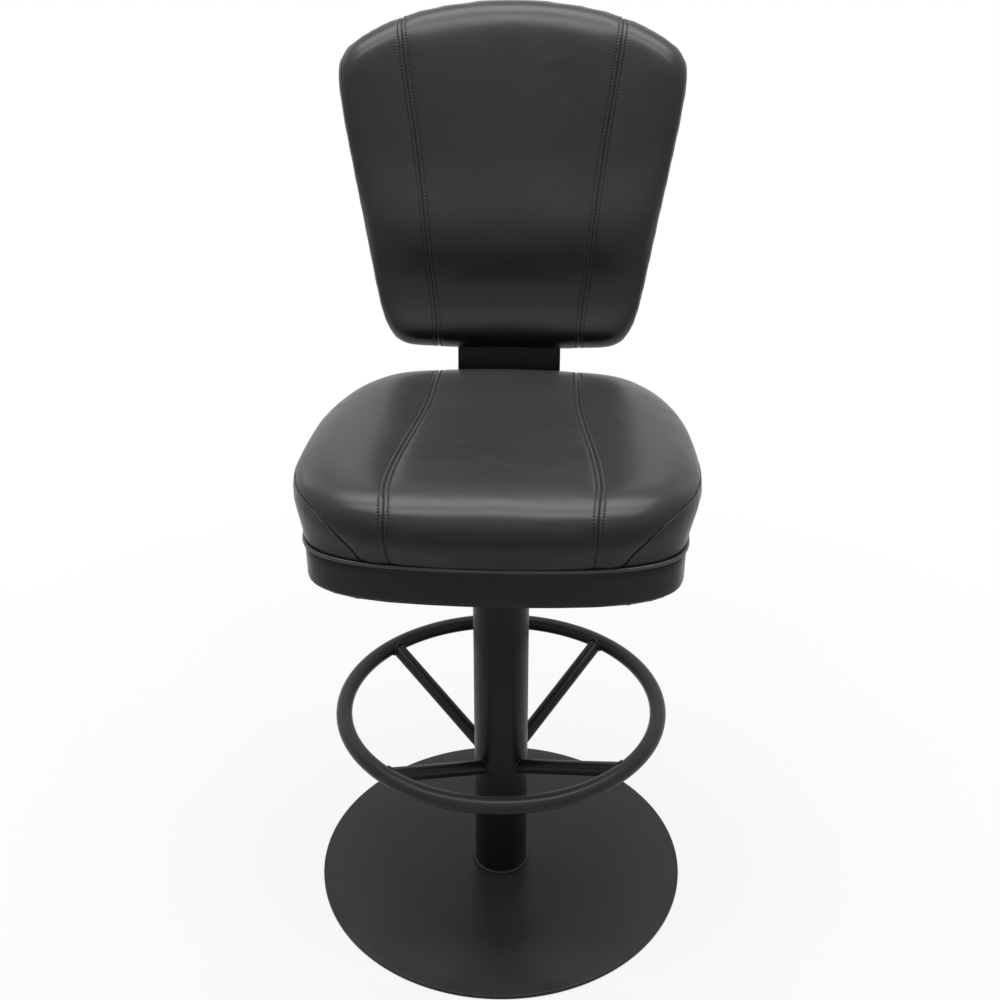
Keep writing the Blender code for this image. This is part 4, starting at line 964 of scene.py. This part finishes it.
def rounded(knots):
    """A smooth line through a few knots."""
    knots = np.array(knots)
    ends = np.vstack([2.0 * knots[0] - knots[1], knots, 2.0 * knots[-1] - knots[-2]])
    dense = []
    for first in range(len(knots) - 1):
        for share in np.linspace(0.0, 1.0, GUSSET_KNOT_POINTS, endpoint=False):
            dense.append(between(*ends[first:first + 4], share))
    return np.array(dense + [knots[-1]])


def trace_seam(cushion, course, first, last, middle, foot, draw=0.0):
    """A long seam on a cushion, cast onto it from inside: up a fan of rays at one end, over the face,
    and down a fan at the other, drawn in towards the foot."""
    surface = BVHTree.FromObject(cushion, bpy.context.evaluated_depsgraph_get())
    rays = [(first, math.radians(turn)) for turn in range(-SEAM_FAN, 0)]
    rays += [(along, 0.0) for along in np.arange(first, last, SEAM_FAN_STEP)]
    rays += [(last, math.radians(turn)) for turn in range(0, SEAM_FAN + 1)]
    line = []
    for along, turn in rays:
        # It is drawn in fully where a fan has opened by a third of a turn.
        start = Vector((course(along) - draw * abs(turn) / math.tau * 3.0, along, middle))
        place = surface.ray_cast(start, Vector((0.0, math.sin(turn), math.cos(turn))))[0]
        if place and place.z > foot:
            line.append(place)
    return even_line(line)


def trace_gusset(cushion, knots):
    """A gusset's seam: a smooth line through the knots, laid onto the cushion."""
    surface = BVHTree.FromObject(cushion, bpy.context.evaluated_depsgraph_get())
    return even_line([surface.find_nearest(Vector(point))[0] for point in rounded(knots)])


def trace_crease(cushion, knots):
    """A crease on a cushion's face: a smooth line seen from above, laid onto the face."""
    surface = BVHTree.FromObject(cushion, bpy.context.evaluated_depsgraph_get())
    line = rounded([(*knot, 0.0) for knot in knots])
    return even_line([
        surface.ray_cast(Vector((x, y, ABOVE_CUSHIONS)), Vector((0.0, 0.0, -1.0)))[0]
        for x, y, height in line
    ])


def mirrored(line):
    """The same line on the other side, run the other way so that its left stays its inner side."""
    return line[::-1] * (-1.0, 1.0, 1.0)


def nearest_places(lines, points, reach):
    """For each point within reach of the lines: which it is, and the nearest line point's number."""
    every = np.vstack(lines)
    tree = KDTree(len(every))
    for number, place in enumerate(every):
        tree.insert(place, number)
    tree.balance()
    close, numbers = [], []
    for index, point in enumerate(points):
        place, number, distance = tree.find(point)
        if distance < reach:
            close.append(index)
            numbers.append(number)
    return np.array(close, dtype=int), np.array(numbers, dtype=int)


def refine(cushion, lines, reach):
    """Halve the cells that lie near the lines."""
    take(cushion, "EDIT")
    mesh = bmesh.from_edit_mesh(cushion.data)
    middles = [face.calc_center_median() for face in mesh.faces]
    close = set(nearest_places(lines, middles, reach)[0].tolist())
    pick(cushion, "FACE", lambda face: face.index in close)
    bpy.ops.mesh.subdivide(number_cuts=1, smoothness=0.0)
    bpy.ops.object.mode_set(mode="OBJECT")


def smooth_near(cushion, lines, reach, times):
    """Round off the flat cells that halving leaves near the lines."""
    close = set(nearest_places(lines, places(cushion), reach)[0].tolist())
    take(cushion, "EDIT")
    pick(cushion, "VERT", lambda vert: vert.index in close)
    bpy.ops.mesh.vertices_smooth(factor=0.5, repeat=times)
    bpy.ops.object.mode_set(mode="OBJECT")


def across_line(line, points, normals, reach):
    """Points near a line: which, the nearest place's number, and how far to its left they lie."""
    close, numbers = nearest_places([line], points, reach)
    course = np.gradient(line, axis=0)
    course /= np.linalg.norm(course, axis=1)[:, None]
    away = points[close] - line[numbers]
    along = course[numbers]
    away -= along * np.sum(away * along, axis=1)[:, None]
    side = np.sum(away * np.cross(normals[close], along), axis=1)
    return close, numbers, np.copysign(np.linalg.norm(away, axis=1), side)


def bell(distance, width):
    """A rise of 1 that falls off on both sides over about its width."""
    return np.exp(-(distance / width) ** 2)


def sew(cushion, seams, rows, gussets, creases):
    """Draw the cover in along its seams, set the gussets' edges proud, and crease it."""
    points, normals = places(cushion), outward(cushion)
    rise = np.zeros(len(points))
    marks = {name: np.zeros(len(points)) for name in ("seam", "gusset", "row")}
    marks.update({name + "_side": np.ones(len(points)) for name in tuple(marks)})
    for line, stitched in zip(seams, rows):
        close, numbers, across = across_line(line, points, normals, SEAM_REACH)
        gap = np.abs(across)
        run = numbers * LINE_STEP
        pucker = 1.0 - PUCKER + PUCKER * np.cos(math.tau * run / STITCH_PITCH)
        uneven = np.array([
            noise.noise(Vector((place / LIP_WANDER, *LIP_NOISE))) for place in run
        ])
        rise[close] += (
            -SEAM_VALLEY[0] * bell(gap, SEAM_VALLEY[1])
            - SEAM_GROOVE[0] * bell(gap, SEAM_GROOVE[1])
            + SEAM_LIP[0] * (1.0 + LIP_UNEVEN * uneven) * bell(gap - SEAM_LIP[2], SEAM_LIP[1])
            - ROW_SINK[0] * stitched[numbers] * pucker * bell(gap - NEEDLE_GAP, ROW_SINK[1])
        )
        marks["seam"][close] = 1.0 - gap / SEAM_REACH
        marks["seam_side"][close] = across / SEAM_REACH
        stitch_mark = ROW_MARK[0] + ROW_MARK[1] * pucker
        marks["row"][close] = (1.0 - gap / SEAM_REACH) * stitched[numbers] * stitch_mark
        marks["row_side"][close] = (gap - NEEDLE_GAP) / SEAM_REACH
    for line in gussets:
        close, numbers, across = across_line(line, points, normals, SEAM_REACH)
        rise[close] += np.where(
            across > 0.0,
            -PANEL_DIP[0] * np.exp(-np.abs(across) / PANEL_DIP[1]),
            -GUSSET_DIP[0] * np.exp(-np.abs(across) / GUSSET_DIP[1])
            + GUSSET_EDGE[0] * bell(across + GUSSET_EDGE[1], GUSSET_EDGE[1]),
        )
        marks["gusset"][close] = 1.0 - np.abs(across) / SEAM_REACH
        marks["gusset_side"][close] = across / SEAM_REACH
    for line, depth, width in creases:
        close, numbers, across = across_line(line, points, normals, CREASE_REACH)
        ends = np.sin(math.pi * numbers / len(line))
        lips = CREASE_LIPS[0] * bell(np.abs(across) - CREASE_LIPS[1] * width, width)
        rise[close] -= depth * ends * (bell(across, width) - lips)
    put(cushion, points + normals * rise[:, None])
    for name, values in marks.items():
        cushion.data.attributes.new(name, "FLOAT", "POINT").data.foreach_set("value", values)


def rumple(cushion, centre, spread, waves, depth):
    """Faint waves where sitters have stretched the cover, longer one way than the other."""
    points, normals = places(cushion), outward(cushion)
    worn = np.exp(-np.sum(((points[:, :2] - centre) / spread) ** 2, axis=1))
    worn = worn * eased(*WORN_FACE, normals[:, 2])
    rough = np.array([
        noise.noise(Vector((x / waves[0], y / waves[1], WORN_NOISE))) for x, y, height in points
    ])
    put(cushion, points + normals * (worn * rough * depth)[:, None])


def stand_on_board(cushion, foot, board_face):
    """Cut the block off at its foot, and hollow it for the board, which the cover is pulled over."""
    take(cushion, "EDIT")
    bpy.ops.mesh.select_all(action="SELECT")
    bpy.ops.mesh.bisect(
        plane_co=(0.0, 0.0, foot), plane_no=(0.0, 0.0, 1.0), use_fill=True, clear_inner=True,
    )
    pick(cushion, "FACE", lambda face: (
        face.normal.z < -LEVEL_FACE and abs(face.verts[0].co.z - foot) < AT_FOOT
    ))
    bpy.ops.mesh.inset(thickness=VINYL_THICKNESS)
    bpy.ops.transform.translate(value=(0.0, 0.0, board_face - foot))
    bpy.ops.object.mode_set(mode="OBJECT")


def stitch_places(cushion, line, stitched, side):
    """Where a row's stitches lie on the cushion: the place, the way along and the way out of each."""
    surface = BVHTree.FromObject(cushion, bpy.context.evaluated_depsgraph_get())
    course = np.gradient(line, axis=0)
    found = []
    step = round(STITCH_PITCH / LINE_STEP)
    for number in range(step // 2, len(line), step):
        if stitched[number] < 0.5:
            continue
        along = Vector(course[number]).normalized()
        place, out, face, distance = surface.find_nearest(Vector(line[number]))
        place, out, face, distance = surface.find_nearest(place + out.cross(along) * side * NEEDLE_GAP)
        found.append((place, (along - out * along.dot(out)).normalized(), out))
    for place, along, out in (found[0], found[-1]):
        for lean in (-END_LEAN, END_LEAN):
            found.append((place, (along + out.cross(along) * lean).normalized(), out))
    return found


def sew_stitches(name, found):
    """One stitch of thread, modelled once and laid at every place."""
    begin()
    bpy.ops.mesh.primitive_uv_sphere_add(
        segments=THREAD_FACETS, ring_count=THREAD_FACETS, radius=THREAD_RADIUS, enter_editmode=True,
    )
    stitch = bpy.context.object
    reach = STITCH_LENGTH / 2.0 - THREAD_RADIUS
    for way in (-1.0, 1.0):
        pick(stitch, "VERT", lambda vert: vert.co.z * way > THREAD_RADIUS * THREAD_MIDDLE)
        bpy.ops.transform.translate(value=(0.0, 0.0, way * reach))
    bpy.ops.object.mode_set(mode="OBJECT")
    shape = places(stitch)
    shape[:, 1] -= THREAD_RADIUS * THREAD_DIP * (shape[:, 2] / (STITCH_LENGTH / 2.0)) ** 2
    faces = [tuple(face.vertices) for face in stitch.data.polygons]
    points, polygons = [], []
    for place, along, out in found:
        turned = np.array([out.cross(along), out, along])
        polygons += [tuple(vert + len(points) * len(shape) for vert in face) for face in faces]
        points.append(shape @ turned + np.array(place))
    bpy.data.objects.remove(stitch)
    rows = bpy.data.objects.new(name, bpy.data.meshes.new(name))
    rows.data.from_pydata(np.vstack(points).tolist(), [], polygons)
    bpy.context.scene.collection.objects.link(rows)
    take(rows)
    bpy.ops.object.shade_smooth()
    return rows


def fill_with_foam(cushion, points, course, gusset_knots, foot, foot_held, most):
    """Swell a cushion but where its foot, its seams and its gussets hold it, and halve its cells."""
    seam_gap = np.abs(np.abs(points[:, 0]) - course(points[:, 1]))
    gusset = trace_gusset(cushion, gusset_knots)
    held = 1.0 - eased(foot, foot + foot_held, points[:, 2])
    held = np.maximum(held, HELD_AT_SEAM * bell(seam_gap, HOLD_WIDTH))
    close = nearest_places([gusset, mirrored(gusset)], points, 2.0 * HOLD_WIDTH)[0]
    held[close] = np.maximum(held[close], HELD_AT_GUSSET)
    swell(cushion, held, most)
    take(cushion)
    shape_by(cushion, "SUBSURF", levels=1, render_levels=1)


def sew_cover(cushion, name, seam, gusset_knots, creases, worn, row_end):
    """Wear, crease and sew a swollen cushion, on finer cells along its lines, and give its stitches."""
    gusset = trace_gusset(cushion, gusset_knots)
    folds = [(trace_crease(cushion, knots), depth, width) for knots, depth, width in creases]
    seams, gussets = [seam, mirrored(seam)], [gusset, mirrored(gusset)]
    thin_lines = gussets + [line for line, depth, width in folds]
    for _ in range(FINE_HALVINGS):
        refine(cushion, seams, FINE_REACH)
        refine(cushion, thin_lines, FINE_AT_GUSSET * FINE_REACH)
    smooth_near(cushion, seams + thin_lines, SMOOTH_SHARE * FINE_REACH, SMOOTH_TIMES)
    rumple(cushion, *worn)
    rows = [np.where(line[:, 2] > row_end, 1.0, 0.0) for line in seams]
    sew(cushion, seams, rows, gussets, folds)
    return sew_stitches(name, [
        place for line, stitched in zip(seams, rows) for side in (-1.0, 1.0)
        for place in stitch_places(cushion, line, stitched, side)
    ])


# Bonded nylon thread, twisted from three strands: a slight shine across the twist.
nylon_thread, tree, shader, place = new_finish("black_bonded_nylon_thread")
twist = add_node(
    tree, "ShaderNodeTexWave",
    {"bands_direction": "DIAGONAL", "Scale": METRE_WAVES / THREAD_TWIST, "Distortion": 0.5},
    {"Vector": place},
)
strands = add_node(
    tree, "ShaderNodeMix", {"data_type": "RGBA", 6: linear("#060607"), 7: linear("#111112")},
    {0: twist.outputs["Fac"]},
)
relief = add_node(
    tree, "ShaderNodeBump", {"Strength": 0.5, "Distance": 0.00008}, {"Height": twist.outputs["Fac"]},
)
tree.links.new(strands.outputs[2], shader.inputs["Base Color"])
tree.links.new(relief.outputs["Normal"], shader.inputs["Normal"])
shader.inputs["Roughness"].default_value = 0.55
shader.inputs["Specular IOR Level"].default_value = 0.15


def seat_course(along):
    """Half the distance between the seat's two long seams."""
    return SEAT_SEAM_FRONT + (SEAT_SEAM_REAR - SEAT_SEAM_FRONT) * eased(*SEAT_SEAM_TURN, along)


seat_line = outline(SEAT_OUTLINE, SEAT_HALF_WIDTH, SEAT_FRONT, SEAT_REAR)
to_front = eased(*SEAT_ROLL_FROM, -seat_line[:, 1] / SEAT_FRONT)
to_sides = eased(*SEAT_SLACK_FROM, np.abs(seat_line[:, 0]) / SEAT_HALF_WIDTH)
seat_cushion = cushion_block(
    "seat_cushion", offset(skirt_line, SEAT_FOOT_OUT), seat_line,
    (SEAT_FOOT, SEAT_WIDEST - SEAT_ROLL_DROP * to_front, SEAT_FACE),
    SEAT_SHOULDER + SEAT_ROLL_DEPTH * to_front, SEAT_SLACK + (1.0 - SEAT_SLACK) * to_sides,
)
points = places(seat_cushion)
out_share = np.clip(outline_share(points, seat_line, SEAT_CENTRE), 0.0, 1.0)
points[:, 2] += SEAT_CROWN * (1.0 - out_share ** 2) * eased(SEAT_WIDEST, SEAT_FACE, points[:, 2])
put(seat_cushion, points)
fill_with_foam(
    seat_cushion, points, seat_course, SEAT_GUSSET, SEAT_FOOT, SEAT_FOOT_HELD, SEAT_SWELL,
)
seat_seam = trace_seam(
    seat_cushion, seat_course, *SEAT_SEAM_RUN, SEAT_FOOT - FOOT_MARGIN, SEAT_SEAM_DRAW,
)
seat_stitches = sew_cover(
    seat_cushion, "seat_topstitching", seat_seam, SEAT_GUSSET, SEAT_CREASES, SEAT_WORN, SEAT_ROW_END,
)
carry(seat_stitches, "seat", "vinyl", nylon_thread)
stand_on_board(seat_cushion, SEAT_FOOT, SEAT_BOARD_TOP)
bpy.ops.object.shade_smooth()
carry(seat_cushion, "seat", "vinyl", black_vinyl, "seat_cover", "seat_foam")


# Back bar. Flat steel 140 mm wide, bolted under the seat board, bent up behind the seat on a press and
# let into the back board. Its edges are broken, and it is powder coated as the column is.

dress(powder_coat, "back_bar")


# Back cushion. Made as the seat's: foam on a plywood board, a middle panel between two topstitched
# seams that roll over the top, and a narrow gusset down each side. It is built lying down and then
# stood up.

BACK_LEAN = 10.0
BACK_FOOT = Vector((0.0, 0.2423, 0.6988))
BACK_HALF_WIDTH = 0.2252
BACK_LENGTH = 0.441
BACK_MIDDLE = 0.52
BACK_OUTLINE = (
    (0.0, 0.0), (0.472, 0.0), (0.638, 0.009), (0.728, 0.0523), (0.786, 0.15), (0.871, 0.3886),
    (0.9532, 0.618), (0.998, 0.773), (0.989, 0.836), (0.904, 0.886), (0.668, 0.9466),
    (0.356, 0.986), (0.0, 1.0),
)
BACK_DRAW_IN = 0.007
BACK_HEIGHTS = (0.0053, 0.0203, 0.0445)
BACK_BOARD_FACE = 0.0203
# How wide the shoulder is: at the sides, and how much more at the foot and along the slanting top. Then
# how much lower the top is widest, how it slants, and the shares of the length where each comes in.
BACK_SHOULDER = 0.014
BACK_FOOT_ROLL = 0.012
BACK_TOP_ROLL = 0.016
BACK_TOP_DROP = 0.004
BACK_TOP_SLANT = 0.3
BACK_FOOT_TO = (0.02, 0.15)
BACK_TOP_FROM = (0.68, 0.88)
BACK_CROWN = 0.007
BACK_SWELL = 0.004
BACK_FOOT_HELD = 0.008
BACK_ROW_END = 0.014
# Bulges of the foam across the back, from the lumbar roll down: place, spread and height. The power
# keeps them full nearly out to the edge.
BACK_BULGES = ((0.163, 0.052, 0.013), (0.095, 0.030, -0.003), (0.023, 0.020, 0.014))
BULGE_POWER = 10
BACK_SEAM_RUN = (0.030, 0.405, 0.024)
BACK_SEAM = (
    (0.0, 0.030, 0.057, 0.103, 0.164, 0.223, 0.281, 0.329, 0.382, 0.414, 0.441),
    (0.0925, 0.0950, 0.0980, 0.1030, 0.1090, 0.1155, 0.1225, 0.1297, 0.1367, 0.1408, 0.1438),
)
BACK_GUSSET = (
    (0.192, 0.3955, 0.004), (0.206, 0.3905, 0.014), (0.2165, 0.381, 0.024), (0.2192, 0.365, 0.033),
    (0.2155, 0.330, 0.0375), (0.2045, 0.260, 0.038), (0.190, 0.180, 0.038), (0.1765, 0.115, 0.037),
    (0.1655, 0.069, 0.035), (0.156, 0.034, 0.030), (0.145, 0.012, 0.020), (0.132, 0.004, 0.004),
)
BACK_CREASES = (
    (((0.022, 0.350), (0.052, 0.363), (0.085, 0.372)), -0.00026, 0.0070),
    (((0.050, 0.335), (0.082, 0.316), (0.110, 0.292)), 0.00028, 0.0075),
    (((0.146, 0.171), (0.160, 0.166), (0.174, 0.167)), 0.00016, 0.0035),
)
BACK_WORN = ((0.020, 0.230), (0.110, 0.150), (0.045, 0.070), 0.0006)

back_place = Matrix.Translation(BACK_FOOT) @ Matrix.Rotation(math.radians(90.0 - BACK_LEAN), 4, "X")
back_line = outline(BACK_OUTLINE, BACK_HALF_WIDTH, BACK_LENGTH, BACK_LENGTH)
back_foot_line = offset(back_line, -BACK_DRAW_IN)
back_centre = (0.0, BACK_LENGTH * BACK_MIDDLE)


def back_course(along):
    """Half the distance between the back's two long seams."""
    return np.interp(along, *BACK_SEAM)


back_share = back_line[:, 1] / BACK_LENGTH
to_top = eased(*BACK_TOP_FROM, back_share)
back_cushion = cushion_block(
    "back_cushion", back_foot_line, back_line,
    (BACK_HEIGHTS[0], BACK_HEIGHTS[1] - BACK_TOP_DROP * to_top, BACK_HEIGHTS[2]),
    BACK_SHOULDER + BACK_FOOT_ROLL * (1.0 - eased(*BACK_FOOT_TO, back_share)) + BACK_TOP_ROLL * to_top,
    slant=BACK_TOP_SLANT * to_top,
)
points = places(back_cushion)
out_share = np.clip(outline_share(points, back_line, back_centre), 0.0, 1.0)
dome = BACK_CROWN * (1.0 - out_share ** 2)
bulges = sum(height * bell(points[:, 1] - along, spread) for along, spread, height in BACK_BULGES)
rise = dome + bulges * (1.0 - out_share ** BULGE_POWER)
points[:, 2] += rise * eased(*BACK_HEIGHTS[1:], points[:, 2])
put(back_cushion, points)
fill_with_foam(
    back_cushion, points, back_course, BACK_GUSSET, BACK_HEIGHTS[0], BACK_FOOT_HELD, BACK_SWELL,
)
back_seam = trace_seam(back_cushion, back_course, *BACK_SEAM_RUN, BACK_HEIGHTS[0] - FOOT_MARGIN)
back_stitches = sew_cover(
    back_cushion, "back_topstitching", back_seam, BACK_GUSSET, BACK_CREASES, BACK_WORN, BACK_ROW_END,
)
back_stitches.data.transform(back_place)
carry(back_stitches, "seat", "vinyl", nylon_thread)
stand_on_board(back_cushion, BACK_HEIGHTS[0], BACK_BOARD_FACE)
bpy.ops.object.shade_smooth()
back_cushion.data.transform(back_place)
carry(back_cushion, "seat", "vinyl", black_vinyl, "back_cover", "back_foam")


# Back piping, and the upholstered panel that closes the rear of the back. The piping is the seat's.
# The panel is a thin board with a little wadding under vinyl, stapled on over the bar.

REAR_PAD_FOOT = 0.0003
REAR_PAD_EDGE = 0.0043
REAR_PAD_CROWN = 0.007
REAR_PAD_SHARP = math.radians(50.0)
# Section of its rolled edge: how far out of the outline, and the share of its height.
REAR_PAD_SECTION = (
    (0.0004, 0.0), (0.0010, 0.25), (0.0008, 0.5), (0.0, 0.72), (-0.0014, 0.87), (-0.0034, 0.96),
    (-0.006, 1.0),
)
# The rings of its crown, as shares of the way out from the middle.
REAR_PAD_SHARES = (0.97, 0.93, 0.88, 0.82, 0.75, 0.66, 0.55, 0.42, 0.28, 0.14, 0.05)

back_piping = welt("back_piping_welt", offset(back_foot_line, PIPING_OUT), PIPING_RADIUS, closed=True)
back_piping.data.transform(back_place)
carry(back_piping, "seat", "vinyl", welt_vinyl, "back_piping")

rings = [
    at_height(offset(back_foot_line, out), REAR_PAD_FOOT + up * REAR_PAD_EDGE)
    for out, up in REAR_PAD_SECTION
]
for share in REAR_PAD_SHARES:
    height = REAR_PAD_FOOT + REAR_PAD_EDGE + REAR_PAD_CROWN * (1.0 - share ** 3)
    shrunk = back_centre + (offset(back_foot_line, REAR_PAD_SECTION[-1][0]) - back_centre) * share
    rings.append(at_height(shrunk, height))
rear_pad = loft("back_rear_pad", rings, capped=True)
bpy.ops.object.shade_smooth_by_angle(angle=REAR_PAD_SHARP)
rear_pad.data.transform(back_place @ Matrix.Rotation(math.pi, 4, "Y"))
carry(rear_pad, "seat", "vinyl", black_vinyl, "back_rear_panel")


# Camera and studio. The camera stands where the photograph was taken from, in front of the stool and
# above it. The floor is matt white paper under two long soft boxes overhead, with weak ones around.

CAMERA_PITCH = 26.35
CAMERA_YAW = 2.8
CAMERA_ROLL = 0.02
CAMERA_PLACE = (0.0620, -1.3141, 1.2053)
LENS = 42.34
SENSOR_WIDTH = 36.0
LENS_SHIFT = (0.0007, 0.0185)
FLOOR_SIZE = 80.0
# The share of the floor's real shading that shows through its white glow, up to the first distance
# from the stool. It fades out at the second.
SHADOW_SHARE = 0.14
SHADOW_REACH = (0.3, 1.3)
SKY_LIGHT = 0.05
# Each lamp's place and what it is turned to, then its width, its depth and its power in watts.
LAMPS = (
    ("overhead_front_softbox", (0.0, -0.62, 2.9), (0.0, 0.0, 0.65), 3.4, 0.6, 100.0),
    ("overhead_rear_softbox", (0.0, 0.4, 2.9), (0.0, 0.0, 0.65), 3.4, 0.7, 100.0),
    ("high_rear_softbox", (0.0, 2.4, 2.5), (0.0, 0.0, 0.65), 2.6, 1.0, 8.0),
    ("front_softbox", (0.0, -2.8, 2.4), (0.0, 0.0, 0.8), 3.0, 2.0, 8.0),
    ("rear_left_softbox", (-2.2, 1.8, 2.0), (0.0, 0.0, 0.7), 1.0, 1.4, 6.0),
    ("rear_right_softbox", (2.2, 1.8, 2.0), (0.0, 0.0, 0.7), 1.0, 1.4, 3.0),
)


def background_seen(tree):
    """1 where the camera, a gloss or a glass sees the background, 0 for what lights other surfaces."""
    light_path = add_node(tree, "ShaderNodeLightPath")
    seen = light_path.outputs["Is Camera Ray"]
    for ray in ("Is Glossy Ray", "Is Transmission Ray"):
        seen = add_node(
            tree, "ShaderNodeMath", {"operation": "MAXIMUM"}, {0: seen, 1: light_path.outputs[ray]},
        ).outputs[0]
    return seen


camera = bpy.data.objects.new("camera", bpy.data.cameras.new("camera"))
bpy.context.scene.collection.objects.link(camera)
camera.data.lens = LENS
camera.data.sensor_width = SENSOR_WIDTH
camera.data.shift_x, camera.data.shift_y = LENS_SHIFT
camera.matrix_world = (
    Matrix.Translation(CAMERA_PLACE)
    @ Matrix.Rotation(math.radians(CAMERA_YAW), 4, "Z")
    @ Matrix.Rotation(math.radians(90.0 - CAMERA_PITCH), 4, "X")
    @ Matrix.Rotation(-math.radians(CAMERA_ROLL), 4, "Z")
)
bpy.context.scene.camera = camera

begin()
bpy.ops.mesh.primitive_plane_add(size=FLOOR_SIZE)
floor = bpy.context.object
floor.name = "studio_floor"
paper, tree, shader, place = new_finish("white_paper_floor")
seen = background_seen(tree)
spread = add_node(tree, "ShaderNodeVectorMath", {"operation": "LENGTH"}, {0: place})
far = add_node(
    tree, "ShaderNodeMapRange",
    {"From Min": SHADOW_REACH[0], "From Max": SHADOW_REACH[1],
     "To Min": 1.0 - SHADOW_SHARE, "To Max": 1.0},
    {"Value": spread.outputs["Value"]},
)
share = add_node(
    tree, "ShaderNodeMath", {"operation": "MULTIPLY"}, {0: seen, 1: far.outputs["Result"]},
)
glow = add_node(tree, "ShaderNodeEmission", {"Color": (1.0, 1.0, 1.0, 1.0), "Strength": 1.0})
mixed = add_node(
    tree, "ShaderNodeMixShader", None, {0: share.outputs[0], 1: shader.outputs[0], 2: glow.outputs[0]},
)
tree.links.new(mixed.outputs[0], tree.nodes["Material Output"].inputs["Surface"])
shader.inputs["Base Color"].default_value = linear("#a6a6a6")
shader.inputs["Roughness"].default_value = 0.9
shader.inputs["Specular IOR Level"].default_value = 0.0
floor.data.materials.append(paper)

world = bpy.data.worlds.new("studio")
bpy.context.scene.world = world
world.use_nodes = True
tree = world.node_tree
seen = background_seen(tree)
level = add_node(tree, "ShaderNodeMapRange", {"To Min": SKY_LIGHT, "To Max": 1.0}, {"Value": seen})
sky = tree.nodes["Background"]
sky.inputs["Color"].default_value = (1.0, 1.0, 1.0, 1.0)
tree.links.new(level.outputs["Result"], sky.inputs["Strength"])

for name, place, target, width, depth, power in LAMPS:
    lamp = bpy.data.objects.new(name, bpy.data.lights.new(name, "AREA"))
    bpy.context.scene.collection.objects.link(lamp)
    lamp.data.shape = "RECTANGLE"
    lamp.data.size = width
    lamp.data.size_y = depth
    lamp.data.energy = power
    lamp.location = place
    lamp.rotation_euler = (Vector(target) - Vector(place)).to_track_quat("-Z", "Y").to_euler()

bpy.context.scene.view_settings.view_transform = "Standard"
